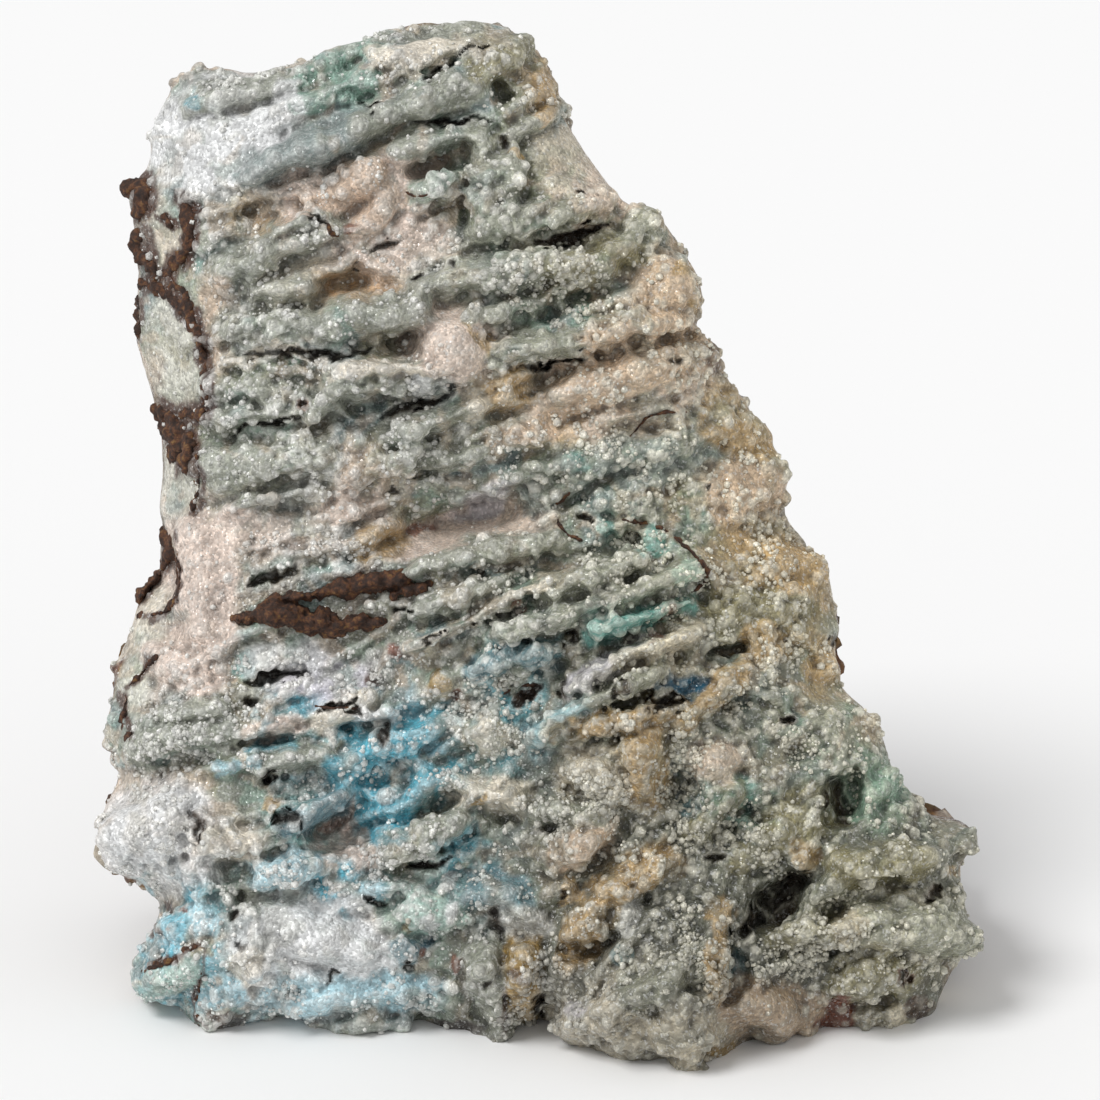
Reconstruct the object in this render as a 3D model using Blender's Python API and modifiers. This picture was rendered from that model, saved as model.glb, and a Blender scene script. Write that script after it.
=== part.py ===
"""Aragonite with smithsonite: one intergrown cabinet specimen that stands on its broken base.

The broad crystal-crusted face is laid out in its own plane, as x to the right and h up the face,
in millimetres, with relief standing out of that plane. The face is then leaned back, and the
specimen is cut off flat where it rests.
"""
import math

import bmesh
import bpy
import numpy as np
from mathutils import Matrix, Vector, noise
from mathutils.bvhtree import BVHTree

# Driving dimensions, metres
MM = 0.001
FACE_LEAN = math.radians(18)
BASE_THICKNESS = 0.060
TOP_THICKNESS = 0.030
FACE_HEIGHT = 0.159
EDGE_ROUND = 0.013
SLAB_THICKNESS = 0.050
GROUND_HEIGHT = 0.0046
ORIGIN_ACROSS = -0.0014
ORIGIN_BACK = 0.0334

# The face was measured square on from this distance, so relief is drawn in towards its centre
VIEW_DISTANCE = 0.600
FACE_CENTRE = (0.0015, 0.0795)
DEEPEST_DRAWN_IN = -0.015

# Mesh sizes; the plain back and sides are thinned out more than the face
CORE_VOXEL = 0.0025
BODY_VOXEL = 0.0015
TRIANGLES = 9600
FACE_THINNING = 0.6

# Rough broken back
BACK_STARTS = -0.022
BACK_ROUGHNESS = 0.0032
BACK_LUMP_SIZE = 0.017

# Outline of the face, clockwise from the brown tip at the upper left, mm
OUTLINE = [
    (-62.4, 134.4), (-59.1, 136.8), (-57.4, 144.8), (-54.4, 150.4), (-48.5, 151.6),
    (-44.2, 150.7), (-36.4, 152.7), (-29.3, 153.7), (-25.0, 156.9), (-17.6, 156.9),
    (-10.7, 159.0), (-5.1, 158.1), (-1.1, 154.5), (2.1, 149.7), (3.2, 144.7),
    (8.7, 136.4), (12.8, 130.5), (16.9, 130.3), (20.7, 124.8), (24.4, 119.0),
    (23.0, 112.5), (26.4, 108.0), (29.6, 103.7), (34.7, 95.7), (36.9, 88.0),
    (37.1, 83.0), (40.3, 80.0), (43.4, 76.0), (44.4, 70.2), (45.1, 65.0),
    (45.1, 60.0), (49.9, 54.6), (52.8, 46.1), (57.1, 40.5), (61.5, 38.5),
    (62.0, 33.5), (64.1, 25.6), (65.1, 20.4), (61.6, 17.7), (59.3, 10.0),
    (55.3, 6.5), (46.4, 6.7), (38.7, 5.7), (29.6, 4.4), (24.5, 0.3),
    (20.5, 0.8), (15.2, 4.0), (10.7, 2.5), (3.6, 5.6), (1.6, 8.9),
    (-4.8, 6.3), (-12.3, 5.7), (-17.6, 9.1), (-24.5, 7.1), (-35.1, 6.7),
    (-39.9, 9.7), (-48.9, 6.1), (-53.5, 10.0), (-60.4, 12.1), (-59.2, 19.3),
    (-56.8, 27.0), (-61.7, 31.0), (-66.3, 34.7), (-63.1, 43.7), (-65.6, 51.5),
    (-63.9, 60.0), (-60.4, 70.5), (-57.0, 76.9), (-57.4, 88.0), (-57.7, 100.1),
    (-60.9, 113.0), (-61.0, 129.2),
]

# Broad swells of the face: x, h, half width, half height, relief, mm
SWELLS = [
    (19.0, 8.0, 17.0, 15.0, 15.0),
    (14.0, 46.0, 24.0, 22.0, 6.0),
    (-44.0, 22.0, 20.0, 20.0, 3.0),
    (-56.0, 40.0, 12.0, 9.0, 4.0),
    (-10.0, 110.0, 26.0, 14.0, 4.0),
    (-30.0, 118.0, 20.0, 20.0, 2.0),
    (8.0, 70.0, 22.0, 9.0, 4.0),
    (-12.0, 85.0, 15.0, 5.0, -6.0),
    (38.0, 74.0, 16.0, 22.0, -5.0),
    (34.0, 104.0, 14.0, 24.0, -5.0),
    (-58.0, 100.0, 8.0, 42.0, -8.0),
    (50.0, 10.0, 18.0, 14.0, -3.0),
    (53.0, 24.0, 12.0, 8.0, 4.0),
]

# Ledges and fingers: x, h at one end, x, h at the other, thickness, how far it stands out, mm
CROWN = [
    (-52.0, 146.5, -37.0, 150.0, 4.5, 3.0),
    (-36.0, 150.5, -25.0, 155.0, 4.0, 3.0),
    (-36.5, 146.0, -27.0, 148.5, 3.4, 2.5),
    (-24.0, 153.0, -12.5, 155.4, 4.0, 3.0),
    (-19.5, 146.0, -10.5, 148.8, 6.0, 4.0),
    (-8.0, 151.0, -2.5, 155.5, 5.0, 2.0),
    (-44.0, 135.5, -26.5, 143.0, 5.5, 4.5),
]
UPPER_LEDGES = [
    (-21.0, 139.7, -11.0, 141.6, 3.4, 4.0),
    (-19.0, 133.0, -12.5, 135.8, 3.8, 5.0),
    (-7.0, 140.0, -7.0, 127.0, 7.0, 3.5),
    (-33.0, 131.0, -26.5, 135.5, 7.0, 1.5),
    (-46.0, 123.0, -31.0, 128.0, 6.0, 4.0),
    (-46.0, 113.0, -19.5, 115.5, 7.0, 5.0),
    (-31.0, 103.5, -19.0, 105.5, 6.0, 5.0),
    (-22.0, 97.0, -8.5, 100.5, 4.5, 5.0),
    (-49.0, 99.5, -30.0, 101.5, 5.0, 3.5),
    (-50.0, 92.0, -33.0, 93.0, 7.0, 3.0),
    (-17.0, 119.5, 3.0, 122.5, 6.0, 5.0),
    (4.0, 121.0, 13.0, 124.5, 6.0, 4.0),
    (-4.0, 127.8, 8.5, 131.3, 6.0, 5.0),
    (-6.0, 109.3, 21.0, 114.0, 5.0, 5.0),
    (3.0, 103.0, 23.0, 108.5, 8.0, 2.5),
]
MIDDLE_LEDGES = [
    (13.0, 93.5, 26.0, 96.0, 7.0, 2.5),
    (0.0, 88.0, 12.0, 94.0, 6.0, 2.0),
    (-20.0, 76.3, 2.0, 80.5, 4.2, 5.0),
    (1.0, 73.0, 14.0, 77.8, 4.6, 6.0),
    (-6.0, 66.8, 12.0, 72.5, 4.4, 6.5),
    (13.0, 72.7, 23.0, 77.0, 4.0, 5.5),
    (8.0, 67.0, 22.0, 71.5, 4.0, 6.0),
    (4.8, 59.0, 17.0, 66.0, 4.0, 7.0),
    (-1.5, 51.5, 18.0, 62.0, 4.4, 7.5),
    (-46.0, 69.5, -29.0, 69.5, 3.2, 5.0),
    (-32.0, 73.5, -20.0, 75.0, 3.6, 5.0),
    (-51.0, 82.0, -50.0, 67.0, 9.0, 2.5),
    (28.0, 88.0, 33.5, 89.5, 8.0, 1.5),
    (28.0, 70.0, 39.0, 71.0, 9.0, 1.5),
]
LOWER_LEDGES = [
    (-59.0, 50.5, -47.0, 53.5, 8.0, 3.5),
    (-61.0, 36.0, -55.0, 40.0, 10.0, 2.5),
    (-42.0, 46.8, -33.0, 49.0, 4.2, 5.0),
    (-38.0, 37.8, -30.0, 42.5, 4.6, 4.5),
    (-50.0, 36.0, -43.0, 35.5, 5.0, 4.0),
    (-22.0, 34.3, -11.5, 39.7, 5.5, 6.0),
    (-36.0, 22.0, -28.0, 20.0, 9.0, 2.5),
    (-7.0, 19.0, -5.0, 9.5, 7.0, 4.5),
    (2.0, 51.5, 20.0, 56.5, 4.2, 4.5),
    (20.0, 56.5, 29.0, 61.5, 4.2, 4.0),
    (16.0, 46.0, 16.0, 51.0, 6.5, 4.5),
    (37.0, 38.0, 42.0, 40.0, 9.0, 2.0),
    (40.5, 26.5, 45.5, 30.0, 4.6, 5.0),
    (45.0, 32.0, 57.0, 33.0, 6.0, 6.0),
    (48.0, 24.0, 61.5, 22.3, 8.5, 4.0),
    (36.0, 21.5, 47.0, 23.5, 5.5, 5.0),
    (46.0, 16.0, 53.0, 16.0, 7.0, 4.0),
    (47.0, 9.5, 54.0, 9.5, 4.5, 2.0),
    (30.0, 10.0, 39.0, 10.0, 8.0, 3.0),
    (24.0, 37.5, 29.0, 43.0, 4.6, 4.0),
    (31.0, 33.0, 37.0, 38.0, 5.5, 3.0),
]
LOWER_MIDDLE_LEDGES = [
    (-33.0, 54.0, -26.0, 57.0, 5.0, 3.5),
    (-30.0, 47.0, -21.0, 50.0, 6.0, 4.0),
    (-20.0, 42.5, -13.0, 45.5, 6.0, 3.5),
    (-11.0, 44.0, -4.0, 42.5, 6.0, 4.0),
    (5.0, 47.0, 10.5, 44.0, 5.0, 4.5),
    (3.0, 34.0, 9.0, 37.5, 6.5, 4.5),
    (11.0, 29.0, 19.0, 32.5, 6.0, 4.5),
    (-12.0, 28.5, -3.0, 27.0, 5.0, 4.0),
    (5.0, 18.5, 8.0, 25.0, 6.0, 4.0),
    (-40.0, 12.0, -28.0, 12.5, 6.0, 3.5),
    (-30.0, 8.8, -21.0, 9.5, 4.5, 3.0),
    (-21.0, 26.5, -13.0, 26.0, 7.0, 3.5),
    (5.0, 8.5, 13.0, 12.0, 7.0, 3.5),
    (14.0, 13.0, 23.0, 17.0, 6.5, 3.5),
]
LEDGES = CROWN + UPPER_LEDGES + MIDDLE_LEDGES + LOWER_LEDGES + LOWER_MIDDLE_LEDGES

# The free finger at the right edge: x, h, relief at each end, thickness, mm
STUB_FINGER = ((55.0, 36.6, -9.0), (64.0, 36.3, -9.0), 3.8)

# Round lumps: x, h, radius, how far it stands out, mm
LUMPS = [
    (-13.0, 109.5, 5.5, 5.5), (15.5, 127.5, 3.6, 3.0), (18.5, 119.0, 4.8, 3.0),
    (-9.5, 114.6, 1.8, 4.5), (-18.0, 103.8, 1.8, 5.0), (-7.5, 51.5, 3.2, 4.0),
    (26.5, 47.5, 3.8, 3.5), (22.0, 2.8, 3.0, 2.0), (46.0, 23.0, 3.0, 6.0),
    (-20.5, 19.5, 2.5, 3.5), (-43.5, 17.5, 3.2, 3.0), (40.0, 76.0, 3.5, 0.5),
    (33.0, 65.5, 3.5, 2.0), (42.0, 62.0, 2.5, 0.5),
]

# Hollows: x, h, half length, half height, tilt in degrees, depth, mm
HOLLOWS = [
    (-5.5, 147.0, 3.0, 2.4, 70.0, 4.0),
    (-16.3, 136.8, 4.2, 2.0, 20.0, 4.0),
    (-28.5, 119.0, 7.0, 2.8, 10.0, 3.5),
    (-21.5, 111.0, 3.8, 2.4, 10.0, 4.0),
    (3.0, 116.0, 12.0, 1.8, 20.0, 4.0),
    (1.5, 105.5, 5.5, 2.0, 28.0, 5.0),
    (-13.0, 83.8, 12.5, 3.8, 15.0, 4.0),
    (-39.5, 61.0, 5.6, 1.8, 3.0, 4.0),
    (-23.3, 52.0, 2.0, 2.6, 0.0, 4.0),
    (14.0, 56.8, 4.8, 1.6, 20.0, 4.0),
    (27.5, 65.0, 4.2, 1.6, 5.0, 4.0),
    (-46.0, 30.5, 4.5, 3.4, 0.0, 4.0),
    (-29.0, 38.5, 6.5, 5.0, 20.0, 4.0),
    (21.0, 43.5, 3.4, 3.8, 0.0, 4.5),
    (45.5, 41.0, 3.6, 5.2, 0.0, 6.0),
    (36.0, 27.0, 7.0, 3.6, 38.0, 7.0),
    (28.0, 15.0, 2.6, 4.4, 0.0, 4.0),
]


def clear_scene():
    for item in list(bpy.data.objects):
        bpy.data.objects.remove(item, do_unlink=True)


def new_collection(name):
    collection = bpy.data.collections.new(name)
    bpy.context.scene.collection.children.link(collection)
    return collection


def stone_material():
    material = bpy.data.materials.new("smithsonite_crust")
    material.use_nodes = True
    shader = material.node_tree.nodes["Principled BSDF"]
    shader.inputs["Base Color"].default_value = (0.47, 0.50, 0.46, 1.0)
    shader.inputs["Roughness"].default_value = 0.5
    shader.inputs["Metallic"].default_value = 0.0
    return material


def coordinates(mesh):
    """The mesh's vertices as an array, one row each."""
    flat = np.empty(len(mesh.vertices) * 3)
    mesh.vertices.foreach_get("co", flat)
    return flat.reshape(-1, 3)


def set_coordinates(mesh, points):
    mesh.vertices.foreach_set("co", points.astype(np.float32).ravel())
    mesh.update()


def evaluated_mesh(item):
    """The object's mesh with its modifiers applied; the object itself is removed."""
    graph = bpy.context.evaluated_depsgraph_get()
    mesh = bpy.data.meshes.new_from_object(item.evaluated_get(graph))
    bpy.data.objects.remove(item, do_unlink=True)
    return mesh


def voxel_remesh(mesh, size, collection):
    item = bpy.data.objects.new("remesh", mesh)
    collection.objects.link(item)
    remesh = item.modifiers.new("voxels", "REMESH")
    remesh.mode = "VOXEL"
    remesh.voxel_size = size
    return evaluated_mesh(item)


def outline_slab(collection):
    """The face's outline as a slab with round edges; its front lies at relief 0."""
    curve = bpy.data.curves.new("outline", "CURVE")
    curve.dimensions = "2D"
    curve.fill_mode = "BOTH"
    curve.extrude = SLAB_THICKNESS / 2 - EDGE_ROUND
    curve.bevel_depth = EDGE_ROUND
    curve.bevel_resolution = 4
    curve.offset = -EDGE_ROUND
    spline = curve.splines.new("POLY")
    spline.points.add(len(OUTLINE) - 1)
    for point, (x, h) in zip(spline.points, OUTLINE):
        point.co = (x * MM, h * MM, 0.0, 1.0)
    spline.use_cyclic_u = True
    item = bpy.data.objects.new("outline", curve)
    collection.objects.link(item)
    mesh = evaluated_mesh(item)
    mesh.transform(Matrix.Translation((0, 0, -SLAB_THICKNESS / 2)))
    welded = bmesh.new()
    welded.from_mesh(mesh)
    bmesh.ops.remove_doubles(welded, verts=welded.verts, dist=0.00001)
    welded.to_mesh(mesh)
    welded.free()
    return mesh


def broad_relief(x, h):
    """Relief of the broad swells at places on the face, in metres."""
    relief = np.zeros_like(x)
    for cx, ch, wide, high, rise in SWELLS:
        reach = ((x - cx * MM) / (wide * MM)) ** 2 + ((h - ch * MM) / (high * MM)) ** 2
        relief += rise * MM * np.exp(-reach)
    return relief


def shape_core(mesh):
    """Gives the slab its thickness from base to top and its broad swells."""
    points = coordinates(mesh)
    x, h, relief = points.T
    share = np.clip(h / FACE_HEIGHT, 0, 1)
    thickness = BASE_THICKNESS + (TOP_THICKNESS - BASE_THICKNESS) * share
    behind = np.minimum(relief + EDGE_ROUND, 0)
    stretch = (thickness - EDGE_ROUND) / (SLAB_THICKNESS - EDGE_ROUND)
    relief = np.maximum(relief, -EDGE_ROUND) + behind * stretch
    front_share = np.clip(1 + relief / BASE_THICKNESS, 0, 1)
    relief = relief + broad_relief(x, h) * front_share
    set_coordinates(mesh, np.column_stack((x, h, relief)))


def face_finder(mesh):
    """A function that gives the relief of the core's front at a place on the face."""
    corners = [v.co for v in mesh.vertices]
    tree = BVHTree.FromPolygons(corners, [p.vertices for p in mesh.polygons])

    def relief_at(x, h):
        hit = tree.ray_cast(Vector((x, h, 1.0)), Vector((0, 0, -1)))[0]
        if hit is None:
            return -EDGE_ROUND
        return hit.z

    return relief_at


def add_ellipsoid(mesh, centre, half_sizes, tilt):
    place = Matrix.Translation(centre) @ Matrix.Rotation(tilt, 4, "Z")
    size = Matrix.Diagonal((*half_sizes, 1.0))
    bmesh.ops.create_icosphere(mesh, subdivisions=2, radius=1.0, matrix=place @ size)


def add_ledge(mesh, relief_at, ledge):
    """A ledge is a row of overlapping ellipsoids, thinner at its two ends."""
    x0, h0, x1, h1, thickness, stand = (value * MM for value in ledge)
    length = math.hypot(x1 - x0, h1 - h0)
    tilt = math.atan2(h1 - h0, x1 - x0)
    count = max(2, math.ceil(length / (0.6 * thickness)) + 1)
    for index in range(count):
        t = index / (count - 1)
        x = x0 + (x1 - x0) * t
        h = h0 + (h1 - h0) * t
        taper = 1 - 0.2 * abs(2 * t - 1) ** 3
        half_deep = max(0.8 * thickness, stand + 0.0015)
        centre = (x, h, relief_at(x, h) + stand * taper - half_deep)
        add_ellipsoid(mesh, centre, (0.55 * thickness, 0.5 * thickness * taper, half_deep), tilt)


def add_lump(mesh, relief_at, lump):
    x, h, radius, stand = (value * MM for value in lump)
    half_deep = max(radius, stand + 0.001)
    centre = (x, h, relief_at(x, h) + stand - half_deep)
    add_ellipsoid(mesh, centre, (radius, radius, half_deep), 0.0)


def add_stub_finger(mesh):
    start, end, thickness = STUB_FINGER
    start, end = (Vector(place) * MM for place in (start, end))
    count = 7
    for index in range(count):
        centre = start.lerp(end, index / (count - 1))
        add_ellipsoid(mesh, centre, [thickness * MM / 2] * 3, 0.0)


def press_hollows(points, facing):
    """Presses each hollow into the front; a hollow fades out at its rim."""
    for cx, ch, half_long, half_high, tilt, depth in HOLLOWS:
        x = points[:, 0] / MM - cx
        h = points[:, 1] / MM - ch
        turn = math.radians(tilt)
        along = (x * math.cos(turn) + h * math.sin(turn)) / half_long
        across = (h * math.cos(turn) - x * math.sin(turn)) / half_high
        share = np.clip(1 - along**2 - across**2, 0, 1) ** 0.7
        points[:, 2] -= depth * MM * share * facing


def roughen_back(points, normals):
    """Moves the back in and out in lumps, as stone breaks."""
    share = np.clip((BACK_STARTS - points[:, 2]) / 0.01, 0, 1)
    for index in np.nonzero(share > 0)[0]:
        place = Vector(points[index]) / BACK_LUMP_SIZE
        swell = noise.noise(place) + 0.5 * noise.noise(place * 2.3)
        points[index] += normals[index] * swell * BACK_ROUGHNESS * share[index]


def face_to_world(points):
    """Draws relief in towards the face's centre, leans the face and sets it on the ground."""
    x, h, relief = points.T
    drawn = 1 - np.maximum(relief, DEEPEST_DRAWN_IN) / VIEW_DISTANCE
    x = FACE_CENTRE[0] + (x - FACE_CENTRE[0]) * drawn
    h = FACE_CENTRE[1] + (h - FACE_CENTRE[1]) * drawn
    sine, cosine = math.sin(FACE_LEAN), math.cos(FACE_LEAN)
    back = h * sine - relief * cosine - ORIGIN_BACK
    up = h * cosine + relief * sine - GROUND_HEIGHT
    return np.column_stack((x - ORIGIN_ACROSS, back, up))


def vertex_normals(mesh):
    flat = np.empty(len(mesh.vertices) * 3, dtype=np.float32)
    mesh.vertex_normals.foreach_get("vector", flat)
    return flat.reshape(-1, 3).astype(float)


def grow_body(collection):
    core = voxel_remesh(outline_slab(collection), CORE_VOXEL, collection)
    shape_core(core)
    relief_at = face_finder(core)
    grown = bmesh.new()
    grown.from_mesh(core)
    for ledge in LEDGES:
        add_ledge(grown, relief_at, ledge)
    for lump in LUMPS:
        add_lump(grown, relief_at, lump)
    add_stub_finger(grown)
    grown.to_mesh(core)
    grown.free()
    body = voxel_remesh(core, BODY_VOXEL, collection)
    points = coordinates(body)
    normals = vertex_normals(body)
    roughen_back(points, normals)
    press_hollows(points, np.clip(normals[:, 2] * 3, 0, 1))
    set_coordinates(body, face_to_world(points))
    plain = np.where(points[:, 2] > BACK_STARTS, FACE_THINNING, 1.0)
    return body, plain


def ground_cutter(collection):
    """A block whose top is the ground; what reaches below it is cut off."""
    cutter_mesh = bpy.data.meshes.new("ground")
    block = bmesh.new()
    bmesh.ops.create_cube(block, size=0.4, matrix=Matrix.Translation((0, 0, -0.2)))
    block.to_mesh(cutter_mesh)
    block.free()
    cutter = bpy.data.objects.new("ground", cutter_mesh)
    cutter.hide_render = True
    cutter.display_type = "WIRE"
    collection.objects.link(cutter)
    return cutter


def build():
    clear_scene()
    parts = new_collection("aragonite_with_smithsonite")
    cutters = new_collection("cutters")
    body, plain = grow_body(cutters)
    body.materials.clear()
    body.materials.append(stone_material())
    specimen = bpy.data.objects.new("aragonite_smithsonite", body)
    parts.objects.link(specimen)

    thinning = specimen.vertex_groups.new(name="thinning")
    for share in (FACE_THINNING, 1.0):
        thinning.add(np.nonzero(plain == share)[0].tolist(), share, "REPLACE")
    thin_out = specimen.modifiers.new("thin_out", "DECIMATE")
    thin_out.vertex_group = thinning.name
    thin_out.vertex_group_factor = 0.5
    faces = sum(len(p.vertices) - 2 for p in body.polygons)
    thin_out.ratio = TRIANGLES / faces
    thin_out.use_collapse_triangulate = True

    rest = specimen.modifiers.new("rest", "BOOLEAN")
    rest.operation = "DIFFERENCE"
    rest.solver = "EXACT"
    rest.object = ground_cutter(cutters)


build()
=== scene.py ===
import math

import bmesh
import bpy
import numpy as np
from mathutils import Matrix, Vector, kdtree
from mathutils.bvhtree import BVHTree


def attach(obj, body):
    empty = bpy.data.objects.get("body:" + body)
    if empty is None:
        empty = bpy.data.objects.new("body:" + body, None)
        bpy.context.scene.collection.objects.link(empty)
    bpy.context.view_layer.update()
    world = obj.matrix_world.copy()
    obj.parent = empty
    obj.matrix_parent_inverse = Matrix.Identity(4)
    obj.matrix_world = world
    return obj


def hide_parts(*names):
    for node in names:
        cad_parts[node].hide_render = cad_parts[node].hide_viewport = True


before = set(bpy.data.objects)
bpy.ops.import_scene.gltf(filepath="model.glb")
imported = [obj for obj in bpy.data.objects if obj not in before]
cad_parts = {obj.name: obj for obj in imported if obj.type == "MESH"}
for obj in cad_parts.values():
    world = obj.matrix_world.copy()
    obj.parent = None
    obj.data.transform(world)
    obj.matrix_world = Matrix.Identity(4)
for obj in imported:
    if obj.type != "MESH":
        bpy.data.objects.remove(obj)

bl_info = {
    "name": "Aragonite with Smithsonite",
    "version": (1, 0, 0),
    "blender": (4, 5, 0),
    "location": "View3D > Sidebar > Specimen",
    "description": "Grows a cabinet specimen of aragonite crusted with botryoidal smithsonite",
    "category": "Add Mesh",
}

NODE = "aragonite_smithsonite"
BODY = "root"
MM = 0.001
SEED = 53

# The specimen's own plane: x to the right and h up its face, mm, with relief standing out of it
FACE_LEAN = math.radians(18)
FACE_HEIGHT = 0.159
VIEW_DISTANCE = 0.600
FACE_CENTRE = (0.0015, 0.0795)
VIEW_WIDTH = 0.165
DEEPEST_DRAWN_IN = -0.015
GROUND_HEIGHT = 0.0046
ORIGIN_ACROSS = -0.0014
ORIGIN_BACK = 0.0334

# The block under the crust
BASE_THICKNESS = 0.060
TOP_THICKNESS = 0.030
EDGE_ROUND = 0.013
SLAB_THICKNESS = 0.050
CORE_VOXEL = 0.0018
BASE_VOXEL = 0.0008
CRUST_ENDS = -0.0200
MATRIX_STARTS = -0.0185
MATRIX_VOXEL = 0.0009

# The crust is kept as four pieces, one above the other: name, and the height where each begins
CRUST_PIECES = [
    ("crust_foot", -0.020), ("crust_lower", 0.030), ("crust_middle", 0.062), ("crust_crown", 0.100),
]

# Gentle ripples and lumps over the block, before the crust grows: heights and sizes in metres
RIPPLE_TILT = math.radians(15)
RIPPLE_HEIGHT = 0.0009
RIPPLE_SIZE = (0.014, 0.0034, 0.02)
SWELLING_HEIGHT = 0.0006
SWELLING_SIZE = 0.0030

# The raster that tells what stands out of the face round about: its left and lower edge and its
# cells in metres, and how often it is smoothed; then the same for what stands out of the crust
FACE_LEFT = -0.075
FACE_FOOT = -0.010
RELIEF_CELL = 0.0006
RELIEF_ROUNDS = 60
CREST_ROUNDS = 10

# The broken matrix: height of its layers in metres, and the per cent of it that is moved inward
LAYER_HEIGHT = 0.0062
MOVED_INWARD = 92

# Light and camera
FLOOR_SIZE = 2.5
KEY_ANGLE = math.radians(24)
KEY_DIRECTION = (0.55, 0.40, -0.9)
SENSOR_WIDTH = 36.0

# Outline of the face, clockwise from the brown tip at the upper left, mm
OUTLINE = [
    (-62.4, 134.4), (-60.6, 134.7), (-59.3, 135.4), (-58.1, 138.8), (-58.5, 142.0),
    (-57.4, 144.8), (-55.6, 147.8), (-54.4, 150.4), (-51.0, 151.7), (-46.5, 151.8),
    (-44.2, 150.7), (-40.2, 151.6), (-36.4, 152.7), (-34.8, 152.3), (-32.0, 153.9),
    (-29.3, 153.7), (-27.2, 154.7), (-25.0, 156.9), (-20.8, 157.3), (-17.6, 156.9),
    (-14.7, 157.7), (-10.7, 159.0), (-5.1, 158.1), (-3.5, 156.3), (-1.6, 155.6),
    (1.1, 152.4), (2.1, 149.7), (3.2, 144.7), (6.9, 138.8), (8.7, 136.4),
    (12.8, 130.5), (15.3, 130.9), (16.9, 130.3), (19.3, 127.9), (20.7, 124.8),
    (23.3, 121.7), (24.7, 117.0), (23.2, 113.9), (23.0, 112.5), (25.9, 109.7),
    (26.4, 108.0), (28.0, 104.0), (29.6, 103.7), (33.1, 97.9), (36.0, 93.9),
    (36.9, 88.0), (36.7, 85.9), (37.1, 83.0), (40.1, 81.0), (40.3, 77.7),
    (43.0, 76.9), (43.7, 73.8), (44.4, 70.2), (45.2, 66.9), (43.3, 64.2),
    (45.6, 61.1), (43.6, 59.7), (47.3, 56.8), (49.9, 54.6), (51.5, 51.2),
    (52.8, 46.1), (55.7, 42.7), (58.4, 39.1), (62.7, 39.2), (65.7, 37.0),
    (65.1, 34.5), (61.9, 34.1), (63.3, 31.3), (62.9, 28.8), (64.9, 21.5),
    (65.1, 20.4), (61.6, 17.7), (61.6, 15.3), (60.0, 14.0), (59.3, 10.0),
    (56.8, 8.1), (55.6, 8.9), (54.1, 5.9), (50.9, 7.3), (46.4, 6.7),
    (42.9, 7.2), (39.2, 6.8), (37.3, 5.1), (33.3, 5.6), (29.6, 4.4),
    (25.6, 1.6), (24.5, 0.3), (21.9, -0.1), (17.3, 2.4), (15.2, 4.0),
    (10.7, 2.5), (6.9, 3.5), (3.6, 5.6), (3.2, 7.2), (4.3, 9.3),
    (0.3, 9.6), (-1.9, 8.4), (-4.8, 6.3), (-8.0, 5.3), (-9.9, 6.5),
    (-12.3, 5.7), (-14.9, 6.8), (-17.6, 9.1), (-20.8, 8.4), (-24.5, 7.1),
    (-31.2, 6.6), (-35.1, 6.7), (-36.4, 8.7), (-40.7, 10.0), (-44.7, 7.6),
    (-50.8, 5.6), (-52.4, 8.4), (-53.7, 11.6), (-56.4, 12.9), (-60.4, 12.1),
    (-61.6, 14.5), (-59.2, 19.3), (-58.0, 23.0), (-56.7, 24.9), (-56.8, 27.6),
    (-61.7, 31.0), (-64.5, 30.6), (-66.3, 34.7), (-65.6, 40.3), (-62.7, 45.3),
    (-63.6, 48.3), (-65.6, 51.5), (-63.8, 58.0), (-64.0, 61.6), (-61.3, 67.3),
    (-60.4, 71.9), (-57.3, 74.8), (-57.2, 81.0), (-56.5, 82.8), (-57.5, 85.2),
    (-56.8, 93.2), (-57.7, 100.1), (-59.1, 104.9), (-60.9, 111.1), (-60.5, 120.7),
    (-61.0, 129.2),
]

# Broad swells of the face: x, h, half width, half height, relief, mm
SWELLS = [
    (19.0, 8.0, 17.0, 15.0, 15.0), (14.0, 46.0, 24.0, 22.0, 6.0),
    (-44.0, 22.0, 20.0, 20.0, 3.0), (-56.0, 40.0, 12.0, 9.0, 4.0),
    (-10.0, 110.0, 26.0, 14.0, 4.0), (-30.0, 118.0, 20.0, 20.0, 2.0),
    (8.0, 70.0, 22.0, 9.0, 4.0), (-12.0, 85.0, 15.0, 5.0, -6.0),
    (38.0, 74.0, 16.0, 22.0, -5.0), (34.0, 104.0, 14.0, 24.0, -5.0),
    (-58.0, 100.0, 8.0, 42.0, -8.0), (50.0, 10.0, 18.0, 14.0, -3.0),
    (53.0, 24.0, 12.0, 8.0, 4.0),
]

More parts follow.
